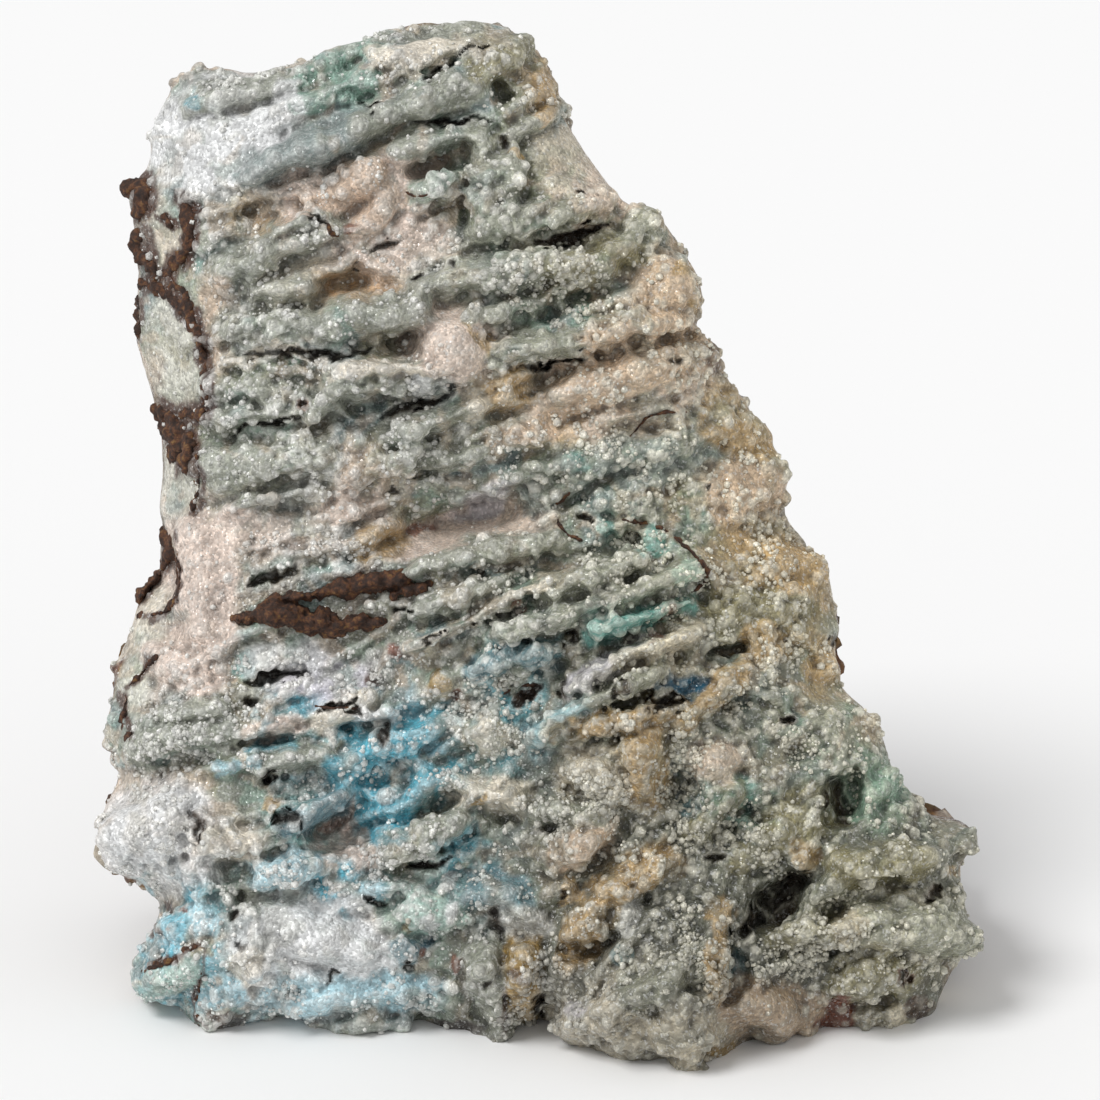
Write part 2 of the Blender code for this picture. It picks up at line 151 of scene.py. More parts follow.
# Ledges and fingers: x, h at one end, x, h at the other, thickness, how far it stands out, colour
LEDGES = [
    (-52.0, 146.5, -37.0, 150.0, 4.5, 3.0, "sage"), (-36.0, 150.5, -25.0, 155.0, 4.0, 3.0, "fern"),
    (-36.5, 146.0, -27.0, 148.5, 3.2, 2.6, "fern"), (-32.0, 149.0, -25.0, 150.2, 2.6, 2.5, "fern"),
    (-24.0, 153.0, -12.5, 155.4, 3.4, 2.6, "cream"), (-24.0, 156.5, -10.0, 158.0, 2.4, 0.5, "sage"),
    (-19.5, 146.0, -10.5, 148.8, 6.0, 4.0, "sage"), (-8.0, 151.0, -2.5, 155.5, 5.0, 2.0, "moss"),
    (-43.5, 135.8, -27.0, 142.8, 5.6, 5.2, "slate"), (-26.0, 143.0, -19.0, 146.2, 4.0, 3.0, "sage"),
    (-4.5, 142.3, 3.0, 145.6, 3.0, 2.0, "sage"), (-1.0, 150.0, 1.2, 146.0, 4.0, 1.0, "tan"),
    (-21.0, 139.7, -11.0, 141.6, 3.2, 4.0, "sage"), (-19.0, 133.0, -12.5, 135.8, 3.6, 5.0, "fern"),
    (-8.5, 141.0, -8.0, 127.0, 5.0, 3.8, "sage"), (-4.5, 139.0, -5.0, 128.0, 4.6, 3.0, "sage"),
    (-33.0, 131.0, -26.5, 135.5, 6.5, 1.8, "pink"), (-26.5, 127.5, -22.5, 132.0, 5.0, 2.0, "pink"),
    (-46.0, 122.5, -31.0, 127.5, 6.0, 4.0, "sage"), (-40.0, 127.2, -33.0, 129.6, 2.0, 4.5, "sage"),
    (-46.0, 112.6, -19.5, 115.3, 6.6, 5.0, "sage"), (-43.0, 118.3, -34.0, 119.2, 4.0, 3.2, "sage"),
    (-31.0, 103.5, -19.0, 105.5, 6.0, 5.0, "sage"), (-47.0, 107.6, -39.0, 109.6, 2.4, 2.8, "cream"),
    (-39.0, 109.6, -26.0, 107.2, 2.2, 2.8, "cream"), (-31.0, 106.6, -14.0, 106.4, 2.4, 5.4, "cream"),
    (-22.0, 97.0, -8.5, 100.5, 4.5, 5.0, "sage"), (-20.0, 93.0, -9.0, 95.0, 4.6, 3.2, "sage"),
    (-50.0, 104.0, -37.0, 103.2, 4.0, 3.2, "sage"), (-49.0, 99.0, -30.0, 101.2, 4.6, 3.8, "sage"),
    (-50.0, 92.0, -33.0, 93.5, 7.0, 3.2, "sage"), (-44.0, 87.0, -33.0, 88.5, 4.0, 2.6, "sage"),
    (-17.0, 119.2, 3.0, 122.4, 6.0, 5.0, "sage"), (4.0, 121.0, 13.0, 124.5, 6.0, 4.0, "moss"),
    (-4.0, 127.6, 8.5, 131.2, 5.6, 5.0, "sage"), (2.0, 134.5, 9.0, 132.0, 4.0, 2.0, "blush"),
    (-6.0, 109.3, 8.0, 111.6, 4.8, 5.0, "sage"), (8.0, 111.6, 21.5, 114.2, 4.6, 5.0, "pink"),
    (3.0, 103.0, 23.0, 108.5, 7.6, 2.8, "pink"), (-8.0, 102.0, -2.5, 104.5, 4.6, 2.4, "tan"),
    (13.0, 93.0, 26.0, 96.0, 6.4, 2.8, "slate"), (14.0, 89.5, 22.0, 91.5, 3.2, 2.4, "slate"),
    (0.0, 88.0, 12.0, 94.0, 6.0, 2.2, "slate"), (28.0, 88.0, 34.0, 89.5, 8.0, 1.5, "pink"),
    (26.5, 97.5, 32.5, 96.5, 6.0, 1.2, "tan"), (-6.0, 96.0, 0.5, 97.0, 4.0, 2.6, "pink"),
    (-20.0, 76.3, -9.0, 79.2, 3.6, 5.0, "sage"), (-9.0, 79.0, 2.5, 80.8, 4.0, 5.4, "sage"),
    (1.0, 73.0, 14.0, 77.8, 4.4, 6.2, "sage"), (-6.0, 66.8, 12.0, 72.5, 4.0, 6.6, "sage"),
    (13.0, 72.7, 23.0, 77.0, 3.4, 5.5, "sage"), (8.0, 67.0, 22.0, 71.7, 3.4, 6.0, "teal"),
    (4.8, 59.0, 17.0, 66.0, 3.3, 7.0, "lilac"), (-1.5, 51.5, 9.0, 57.0, 3.6, 7.5, "aqua"),
    (9.0, 57.0, 18.0, 62.0, 4.0, 7.5, "sage"), (13.0, 63.0, 23.0, 67.5, 3.6, 5.0, "cream"),
    (-20.0, 64.6, -9.5, 69.5, 1.5, 5.4, "cream"), (-9.5, 69.5, 2.5, 75.6, 1.5, 5.4, "cream"),
    (-18.0, 70.6, -6.0, 74.6, 3.4, 4.2, "sage"), (-9.0, 61.4, 2.0, 65.0, 4.0, 4.6, "steel"),
    (-51.0, 82.0, -50.0, 67.0, 8.6, 2.6, "blush"), (-57.0, 63.0, -51.0, 60.0, 6.0, 2.4, "blush"),
    (28.0, 70.0, 38.0, 71.0, 8.0, 1.8, "moss"), (33.0, 78.0, 38.0, 77.0, 7.0, 1.5, "tan"),
    (22.0, 53.5, 30.0, 61.5, 4.0, 4.0, "tan"), (2.0, 51.5, 20.0, 56.3, 3.6, 4.6, "tan"),
    (-59.5, 49.5, -47.5, 52.5, 7.0, 3.8, "sage"), (-56.0, 54.8, -48.0, 56.2, 3.2, 3.6, "sage"),
    (-61.0, 36.0, -55.0, 40.0, 10.0, 2.8, "white"), (-50.0, 36.0, -43.0, 35.5, 4.8, 4.0, "cream"),
    (-42.0, 46.8, -33.0, 49.0, 4.0, 5.0, "sage"), (-38.0, 37.8, -30.0, 42.5, 4.4, 4.6, "steel"),
    (-44.0, 52.3, -36.0, 53.4, 3.0, 3.6, "blush"), (-33.0, 54.0, -26.0, 57.0, 4.0, 3.4, "cream"),
    (-27.5, 54.6, -21.5, 54.8, 1.8, 5.2, "white"), (-30.0, 46.5, -21.0, 50.0, 5.6, 3.8, "turquoise"),
    (-20.0, 42.5, -13.0, 45.5, 5.6, 3.6, "turquoise"), (-21.0, 51.0, -14.0, 54.5, 5.0, 3.0, "turquoise"),
    (-22.0, 34.3, -11.5, 39.7, 5.3, 6.0, "sage"), (-12.0, 44.0, -3.5, 42.5, 5.5, 4.0, "cream"),
    (-41.0, 31.0, -34.0, 31.8, 4.6, 4.0, "aqua"), (-37.0, 23.0, -28.0, 20.0, 9.0, 2.8, "white"),
    (-25.6, 28.8, -20.0, 29.0, 3.0, 4.0, "aqua"), (-21.0, 25.0, -13.0, 26.5, 7.0, 3.2, "mint"),
    (-12.0, 28.5, -4.0, 28.0, 5.2, 3.6, "steel"), (-5.0, 24.5, -1.0, 24.0, 5.0, 4.4, "white"),
    (-40.0, 12.0, -28.0, 12.5, 5.6, 3.0, "aqua"), (-30.0, 8.8, -21.0, 9.5, 4.4, 2.8, "slate"),
    (-58.5, 14.0, -52.0, 15.5, 4.6, 2.6, "mint"), (-56.0, 22.5, -51.0, 24.0, 5.0, 2.4, "aqua"),
    (-24.5, 13.0, -16.0, 14.0, 5.0, 2.6, "aqua"), (-8.5, 19.0, -5.5, 8.0, 5.4, 4.6, "sage"),
    (-3.2, 20.0, -2.0, 11.0, 4.6, 4.0, "ochre"), (5.0, 18.5, 8.0, 25.0, 6.0, 4.0, "tan"),
    (5.0, 47.0, 10.5, 44.0, 5.0, 4.6, "cream"), (16.0, 45.0, 16.0, 52.0, 6.4, 4.6, "tan"),
    (3.0, 34.0, 9.0, 37.5, 6.0, 4.6, "pink"), (11.0, 29.0, 19.0, 32.5, 6.0, 4.6, "tan"),
    (24.0, 37.5, 29.0, 43.0, 4.6, 4.0, "moss"), (31.0, 33.0, 37.0, 38.0, 5.5, 3.0, "moss"),
    (36.5, 37.5, 42.0, 40.5, 9.0, 2.6, "moss"), (48.0, 41.0, 52.0, 44.0, 5.5, 2.0, "fern"),
    (40.5, 26.5, 45.5, 30.0, 4.6, 5.0, "sage"), (45.0, 31.8, 57.0, 33.0, 6.0, 6.0, "moss"),
    (48.0, 24.0, 62.0, 22.3, 8.5, 4.0, "sage"), (36.0, 21.5, 46.0, 23.5, 5.0, 5.0, "moss"),
    (46.0, 15.0, 53.0, 16.0, 7.4, 4.0, "moss"), (47.0, 9.5, 54.0, 9.5, 4.5, 2.0, "cream"),
    (30.0, 11.0, 39.0, 10.0, 8.0, 3.0, "pink"), (5.0, 8.5, 13.0, 12.0, 7.0, 3.5, "cream"),
    (14.0, 13.0, 23.0, 17.0, 6.5, 3.5, "sage"), (12.0, 5.5, 24.0, 7.0, 6.0, 2.5, "cream"),
    (26.0, 13.0, 27.0, 26.0, 3.2, 3.4, "tan"), (0.0, 40.5, 9.0, 40.0, 4.0, 4.2, "sage"),
]

# The free finger at the right edge: x, h, relief at each end, thickness, mm
STUB_FINGER = ((55.0, 36.6, -9.0), (64.0, 36.3, -9.0), 3.7)

# Round lumps: x, h, radius, how far it stands out, colour
LUMPS = [
    (-13.0, 109.5, 5.5, 5.5, "blush"), (15.5, 127.8, 3.6, 3.0, "sage"), (18.5, 119.0, 4.8, 3.0, "pink"),
    (-9.5, 114.6, 1.5, 4.6, "sage"), (-6.5, 114.6, 1.7, 5.0, "sage"), (-1.0, 115.2, 1.5, 4.6, "sage"),
    (3.2, 116.3, 1.6, 4.6, "sage"), (-18.0, 103.8, 1.6, 5.0, "white"), (-7.5, 51.5, 3.0, 4.2, "cream"),
    (26.5, 47.5, 3.6, 3.8, "blush"), (22.0, 2.6, 2.8, 2.2, "cream"), (46.0, 23.0, 2.9, 6.2, "cream"),
    (-20.5, 19.5, 2.4, 3.8, "steel"), (-43.5, 17.5, 3.0, 3.2, "cream"), (40.0, 76.0, 3.5, 1.0, "tan"),
    (33.0, 65.5, 3.5, 2.2, "tan"), (42.5, 62.0, 2.5, 1.0, "tan"), (-26.5, 135.5, 3.6, 3.4, "pink"),
    (-38.5, 148.0, 2.6, 3.0, "white"), (-19.0, 146.5, 2.2, 4.4, "sage"), (-9.5, 101.0, 2.3, 4.8, "cream"),
    (-14.8, 60.5, 2.0, 3.4, "ochre"), (-40.3, 41.5, 1.5, 3.2, "tan"), (12.5, 22.5, 1.6, 3.0, "white"),
    (13.0, 25.0, 1.8, 3.0, "white"), (12.7, 18.5, 1.6, 2.6, "steel"), (39.5, 33.5, 2.4, 3.0, "tan"),
    (21.5, 76.0, 2.1, 4.6, "mint"), (10.0, 82.5, 1.4, 2.6, "teal"), (17.0, 81.0, 2.2, 2.6, "teal"),
    (-48.5, 47.0, 1.3, 3.6, "aqua"), (-46.4, 47.2, 1.2, 3.6, "aqua"), (-43.4, 48.0, 1.3, 3.6, "aqua"),
    (-14.0, 29.5, 1.3, 3.4, "white"), (-13.2, 25.7, 1.3, 3.6, "white"), (-16.0, 24.0, 1.2, 3.6, "white"),
    (4.5, 28.5, 1.8, 3.0, "tan"), (8.5, 29.5, 1.8, 3.0, "tan"), (5.0, 10.5, 1.6, 3.6, "lilac"),
    (-28.0, 127.3, 1.2, 3.6, "rust"), (44.6, 9.8, 2.5, 0.9, "rust"),
    (-36.0, 146.0, 1.5, 2.6, "white"), (-3.0, 97.0, 2.4, 2.8, "pink"),
]

# Wide hollows: x, h, half length, half height, tilt in degrees, depth, mm
HOLLOWS = [
    (-5.5, 147.0, 3.0, 2.4, 70.0, 5.0), (-16.3, 136.9, 4.2, 2.0, 20.0, 5.0),
    (-43.0, 129.5, 3.4, 2.8, 0.0, 3.5), (-28.5, 119.0, 7.0, 2.8, 10.0, 4.0),
    (-21.5, 111.0, 3.8, 2.4, 10.0, 5.0), (1.5, 115.6, 12.0, 1.6, 20.0, 4.5),
    (1.5, 105.5, 5.3, 1.8, 28.0, 5.5), (-13.0, 83.6, 12.5, 3.4, 15.0, 4.0),
    (-29.0, 119.5, 5.0, 2.0, 10.0, 2.0), (14.0, 56.8, 4.8, 1.6, 20.0, 4.5),
    (27.5, 65.0, 4.2, 1.5, 5.0, 5.0), (-46.0, 30.5, 4.2, 3.4, 0.0, 4.5),
    (-29.0, 38.3, 6.5, 4.6, 20.0, 4.5), (21.0, 43.5, 3.2, 3.8, 0.0, 5.0),
    (45.5, 41.5, 3.2, 5.2, 0.0, 7.0), (36.0, 26.6, 7.2, 3.2, 38.0, 8.0),
    (28.6, 15.0, 2.4, 4.4, 0.0, 5.0), (7.2, 19.6, 5.6, 1.6, 15.0, 5.0),
    (-17.3, 92.2, 1.9, 2.8, 0.0, 6.0), (-39.5, 60.6, 5.3, 1.4, 3.0, 4.5),
    (12.5, 80.2, 2.8, 1.4, 0.0, 4.0), (-20.5, 45.0, 1.0, 3.0, 20.0, 3.0),
]

# Narrow dark gaps, holes and slits: x, h, half length, half height, tilt in degrees, depth, mm
GAPS = [
    (-15.5, 151.7, 3.4, 0.6, 24.0, 4.0), (-10.6, 154.2, 2.0, 0.3, 35.0, 2.0),
    (-24.8, 146.4, 1.9, 0.5, 20.0, 3.0), (-14.0, 143.1, 6.0, 0.5, 3.0, 4.0),
    (-5.0, 140.6, 1.0, 1.2, 0.0, 3.0), (-33.0, 128.9, 1.8, 0.4, -40.0, 3.0),
    (-23.2, 124.8, 2.0, 0.4, 22.0, 3.0), (-28.0, 121.8, 0.8, 0.4, 0.0, 2.5),
    (-17.8, 120.3, 0.7, 0.5, 0.0, 3.0), (-13.5, 122.0, 0.8, 0.5, 0.0, 3.0),
    (-35.0, 109.2, 10.0, 0.8, 4.0, 4.0), (-18.5, 101.2, 6.5, 0.6, 20.0, 4.0),
    (-21.5, 88.8, 0.8, 0.5, 0.0, 3.0), (-41.0, 98.0, 5.0, 0.4, 12.0, 3.0),
    (-36.2, 101.5, 0.8, 0.7, 0.0, 3.0), (5.0, 126.9, 6.3, 0.9, 18.0, 5.5),
    (5.5, 134.3, 0.8, 0.5, 0.0, 2.0), (20.5, 108.2, 0.8, 0.6, 0.0, 2.0),
    (2.2, 107.4, 5.0, 0.7, 18.0, 5.0), (6.5, 84.2, 1.3, 0.6, 0.0, 6.0),
    (-39.8, 75.3, 4.0, 0.7, 22.0, 5.0), (-20.5, 70.6, 1.6, 0.3, 8.0, 3.0),
    (-14.0, 67.3, 5.4, 0.3, 26.0, 3.0), (-39.5, 60.6, 5.0, 0.9, 3.0, 5.0),
    (-43.5, 57.3, 1.7, 0.6, -25.0, 4.0), (-30.5, 56.4, 3.2, 0.5, -2.0, 4.0),
    (-28.2, 54.9, 1.3, 0.5, 0.0, 4.0), (-23.3, 52.0, 1.1, 2.0, 0.0, 7.0),
    (-3.0, 57.5, 2.8, 1.2, 25.0, 4.0), (12.3, 59.0, 1.0, 1.0, 0.0, 4.0),
    (3.0, 58.5, 0.9, 1.6, 0.0, 5.0), (5.0, 66.5, 1.2, 0.5, 20.0, 4.0),
    (19.0, 56.6, 3.0, 0.8, 20.0, 5.0), (36.4, 54.9, 1.4, 0.8, 0.0, 5.0),
    (44.5, 65.2, 0.9, 0.8, 0.0, 3.0), (-51.5, 37.5, 0.8, 2.2, 0.0, 5.0),
    (-40.3, 45.5, 1.6, 0.9, 10.0, 5.0), (-38.5, 38.7, 2.2, 1.6, -20.0, 5.0),
    (-16.5, 32.0, 3.6, 0.6, 10.0, 4.5), (-25.0, 27.6, 2.2, 0.6, -12.0, 4.0),
    (-6.7, 23.5, 1.3, 2.3, 0.0, 5.0), (-7.8, 14.0, 0.6, 1.0, 0.0, 3.0),
    (0.2, 12.0, 1.5, 1.7, 0.0, 5.0), (3.3, 28.5, 0.7, 0.7, 0.0, 3.0),
    (31.0, 23.4, 2.6, 1.5, 50.0, 6.0), (36.5, 28.6, 5.0, 1.3, 30.0, 6.0), (44.6, 41.5, 1.6, 4.4, 0.0, 6.0),
    (26.6, 33.8, 1.6, 0.7, 0.0, 4.0), (59.3, 28.0, 1.4, 0.9, 20.0, 5.0),
    (54.3, 15.2, 1.0, 1.0, 0.0, 3.0), (-46.0, 24.5, 1.0, 0.9, 0.0, 3.0),
    (-44.5, 20.0, 0.8, 0.8, 0.0, 3.0), (-20.3, 17.4, 1.0, 0.5, 0.0, 3.0),
    (-31.0, 15.2, 1.4, 0.3, 15.0, 2.0), (24.6, 88.8, 0.6, 0.5, 0.0, 2.0),
]

# Where the ground is darker grey, partly its own grey and partly painted shade towards the lower right and
# the foot: x, h, half length, half height, tilt in degrees, colour, strength
DARKER_GROUND_AND_SHADE = [
    (40.0, 24.0, 34.0, 24.0, 10.0, "pewter", 0.9), (14.0, 12.0, 30.0, 20.0, 0.0, "pewter", 0.9),
    (16.0, 46.0, 22.0, 16.0, 20.0, "pewter", 0.7), (12.0, 68.0, 22.0, 11.0, 20.0, "pewter", 0.6),
    (-30.0, 72.0, 16.0, 6.0, 5.0, "pewter", 0.4), (-8.0, 42.0, 12.0, 12.0, 0.0, "pewter", 0.5),
    (8.0, 106.0, 10.0, 5.0, 15.0, "pewter", 0.5), (-52.0, 106.0, 6.0, 14.0, 0.0, "moss", 0.6),
]

# Where painted shade darkens the crust, towards its lower right and foot: x, h, half length, half height,
# tilt in degrees
SHADED_CORNER = (34.0, 26.0, 44.0, 40.0, 15.0)
PAINTED_SHADE_FOOT = (22.0, 6.0, 36.0, 22.0, 0.0)
PAINTED_SHADE_MIDDLE = (16.0, 44.0, 26.0, 20.0, 10.0)

# How much green and blue the right half of the crust loses
WARMTH = (0.0, 0.025, 0.14)

# Clouds of other tones in the ground: width in metres, a number that sets their pattern, how much
# of them is held back, their greatest strength, colour
CLOUDS = [
    (0.0042, 51, 0.0, 0.55, "steel"), (0.0031, 53, 0.0, 0.55, "fern"),
    (0.0050, 55, 0.0, 0.6, "moss"), (0.0018, 57, 0.1, 0.5, "pink"),
]

# Fields of colour on the face: x, h, half length, half height, tilt in degrees, colour, strength
FIELDS = [
    (-48.0, 142.0, 12.0, 8.0, 20.0, "white", 1.6), (-52.0, 146.6, 1.6, 1.4, 0.0, "turquoise", 1.0),
    (-40.0, 133.0, 8.0, 4.0, 20.0, "cream", 0.6),
    (-30.0, 130.5, 15.0, 7.0, 18.0, "blush", 1.5), (-37.0, 119.5, 7.0, 5.0, 10.0, "cream", 1.3),
    (-43.0, 129.0, 5.0, 3.0, 0.0, "tan", 0.8),
    (-28.0, 119.5, 8.0, 3.4, 10.0, "apricot", 1.0), (-18.0, 115.5, 5.0, 3.5, 10.0, "blush", 0.8),
    (-21.0, 125.0, 9.0, 5.0, 10.0, "blush", 0.9),
    (-15.0, 121.0, 7.0, 4.0, 10.0, "cream", 0.5), (4.0, 138.5, 6.0, 4.0, -55.0, "cream", 0.9),
    (0.5, 149.0, 3.0, 5.0, 0.0, "tan", 0.7), (-6.0, 153.5, 5.0, 4.0, 0.0, "moss", 0.6),
    (10.0, 133.5, 6.0, 3.6, -50.0, "blush", 0.9), (-13.0, 110.0, 8.0, 6.5, 0.0, "blush", 0.95),
    (12.0, 104.0, 15.0, 7.0, 15.0, "blush", 1.4), (19.0, 118.5, 6.0, 6.5, 0.0, "pink", 0.85),
    (16.5, 106.0, 3.5, 2.6, 0.0, "moss", 0.4), (-5.5, 103.0, 4.5, 3.0, 0.0, "tan", 0.8),
    (2.5, 98.0, 4.0, 4.0, 0.0, "tan", 0.6), (30.0, 99.0, 7.0, 5.0, -50.0, "tan", 0.85),
    (31.5, 88.0, 6.5, 6.5, 0.0, "pink", 0.75), (-29.0, 90.0, 7.0, 6.0, 10.0, "pink", 0.75),
    (-36.0, 84.0, 14.0, 6.0, 8.0, "blush", 0.8), (-11.0, 82.4, 14.0, 3.6, 14.0, "blush", 0.95),
    (-24.0, 80.8, 4.5, 2.6, 10.0, "tan", 0.9), (-8.0, 87.0, 6.0, 2.2, 20.0, "lilac", 0.8),
    (5.0, 91.0, 9.0, 4.0, 20.0, "slate", 0.5), (6.0, 93.0, 2.0, 1.5, 0.0, "teal", 0.8),
    (-51.0, 76.0, 6.0, 13.0, -5.0, "blush", 0.95), (-53.0, 60.0, 6.0, 7.0, 0.0, "blush", 0.75),
    (35.0, 76.0, 8.0, 12.0, 25.0, "tan", 0.8), (29.0, 69.0, 5.0, 5.0, 0.0, "moss", 0.6),
    (40.0, 62.0, 6.0, 5.0, 0.0, "tan", 0.7), (18.0, 63.0, 6.0, 5.0, 20.0, "cream", 0.7),
    (-32.0, 60.0, 8.0, 4.0, 5.0, "lilac", 0.9), (-14.0, 56.0, 8.0, 6.0, 15.0, "pink", 0.4),
    (-2.0, 63.5, 4.0, 3.0, 0.0, "steel", 0.7), (11.5, 69.0, 4.5, 2.2, 15.0, "teal", 0.8),
    (17.0, 81.0, 4.5, 2.0, -10.0, "teal", 0.8),
    (-45.0, 62.5, 2.5, 1.5, 0.0, "teal", 0.6), (-47.5, 82.0, 2.0, 1.5, 0.0, "teal", 0.5),
    (-59.0, 37.0, 10.0, 9.0, 0.0, "blush", 0.95), (-60.0, 38.0, 7.0, 6.0, 0.0, "white", 0.7),
    (-58.0, 48.5, 3.0, 2.0, 0.0, "mint", 0.7), (-47.0, 36.0, 6.0, 3.0, 0.0, "cream", 0.7),
    (-28.0, 38.0, 7.5, 6.0, 10.0, "blush", 1.5), (-31.0, 38.0, 4.0, 1.2, 12.0, "rust", 0.5),
    (-34.0, 20.0, 12.0, 9.0, -12.0, "white", 1.7), (-46.0, 27.0, 6.0, 6.0, 0.0, "slate", 0.6),
    (-55.0, 20.0, 7.0, 12.0, 0.0, "turquoise", 0.75), (-44.0, 13.0, 7.0, 5.0, 0.0, "aqua", 0.8),
    (-36.0, 12.0, 8.0, 4.0, 0.0, "white", 0.5), (-31.5, 26.0, 4.0, 2.2, -20.0, "turquoise", 0.9),
    (-27.0, 48.0, 7.0, 5.0, 10.0, "turquoise", 0.95), (-24.0, 41.0, 5.0, 6.5, 0.0, "turquoise", 0.95),
    (-19.0, 50.5, 5.0, 6.0, 20.0, "turquoise", 0.85), (-37.0, 44.0, 5.0, 4.0, 0.0, "aqua", 0.5),
    (-24.0, 57.0, 6.0, 3.0, 0.0, "aqua", 0.6), (-16.5, 48.0, 2.6, 4.0, 0.0, "aqua", 0.9),
    (-16.0, 27.0, 6.0, 5.0, 0.0, "mint", 0.8), (-8.0, 28.5, 5.0, 3.4, 0.0, "steel", 0.9),
    (-20.0, 12.5, 6.0, 3.0, 0.0, "aqua", 0.7), (-18.5, 21.0, 3.0, 2.0, 0.0, "deep_blue", 0.5),
    (-40.0, 31.0, 5.0, 3.0, 0.0, "aqua", 0.7), (8.0, 46.0, 6.0, 4.5, 0.0, "cream", 0.8),
    (16.0, 48.0, 5.0, 6.5, 0.0, "tan", 0.6), (27.0, 47.5, 5.0, 3.5, 0.0, "blush", 0.85),
    (29.0, 42.0, 4.5, 3.6, -30.0, "teal", 0.55), (30.0, 34.0, 2.4, 2.4, 0.0, "deep_blue", 0.6),
    (21.0, 43.5, 3.0, 4.0, 0.0, "steel", 0.8), (6.5, 35.5, 5.0, 4.0, 20.0, "pink", 0.6),
    (15.0, 9.0, 16.0, 10.0, 0.0, "cream", 0.45), (35.0, 9.0, 8.0, 6.0, 0.0, "pink", 0.6),
    (28.5, 15.0, 2.6, 4.5, 0.0, "steel", 0.7), (47.0, 7.0, 7.0, 3.0, 0.0, "pewter", 0.6),
    (50.0, 43.5, 5.0, 7.0, 20.0, "fern", 0.7), (53.5, 23.0, 9.0, 6.0, 0.0, "cream", 0.9),
    (-23.5, 24.5, 2.6, 2.6, 0.0, "tan", 0.5), (-3.0, 15.0, 2.4, 6.0, 0.0, "ochre", 0.4),
    (-38.0, 53.0, 10.0, 4.5, 5.0, "turquoise", 0.6), (-5.0, 57.0, 5.0, 10.0, 0.0, "turquoise", 0.6),
    (-29.0, 29.0, 6.0, 4.0, 0.0, "turquoise", 0.8), (-36.0, 39.0, 6.0, 5.0, -20.0, "teal", 0.6),
    (-13.0, 43.0, 5.0, 8.0, 0.0, "turquoise", 0.6), (-12.0, 33.0, 6.0, 4.0, 20.0, "turquoise", 0.6),
    (-38.0, 63.0, 7.0, 2.5, 0.0, "white", 0.8), (-54.0, 52.0, 6.0, 4.5, 10.0, "mint", 0.5),
    (-57.0, 33.0, 9.0, 5.0, 0.0, "white", 0.8), (34.0, 41.0, 9.0, 3.0, -28.0, "teal", 0.5),
    (21.5, 58.2, 4.2, 2.8, 20.0, "deep_blue", 1.0), (2.5, 53.0, 6.0, 3.0, 35.0, "aqua", 0.7),
    (-57.0, 126.5, 4.0, 5.0, 0.0, "cream", 0.8), (-54.5, 110.0, 4.5, 9.0, 0.0, "chalk", 0.9),
    (-55.0, 89.0, 3.4, 6.0, 0.0, "chalk", 0.8), (-60.5, 62.0, 4.0, 7.0, 0.0, "chalk", 0.8),
    (-58.0, 71.0, 3.0, 4.0, 0.0, "cream", 0.8), (-48.5, 114.0, 2.6, 8.0, 0.0, "pink", 0.8),
]

# Colours that lie strewn in small clusters rather than as an even field
STREWN = ("turquoise", "aqua", "teal", "deep_blue", "steel")
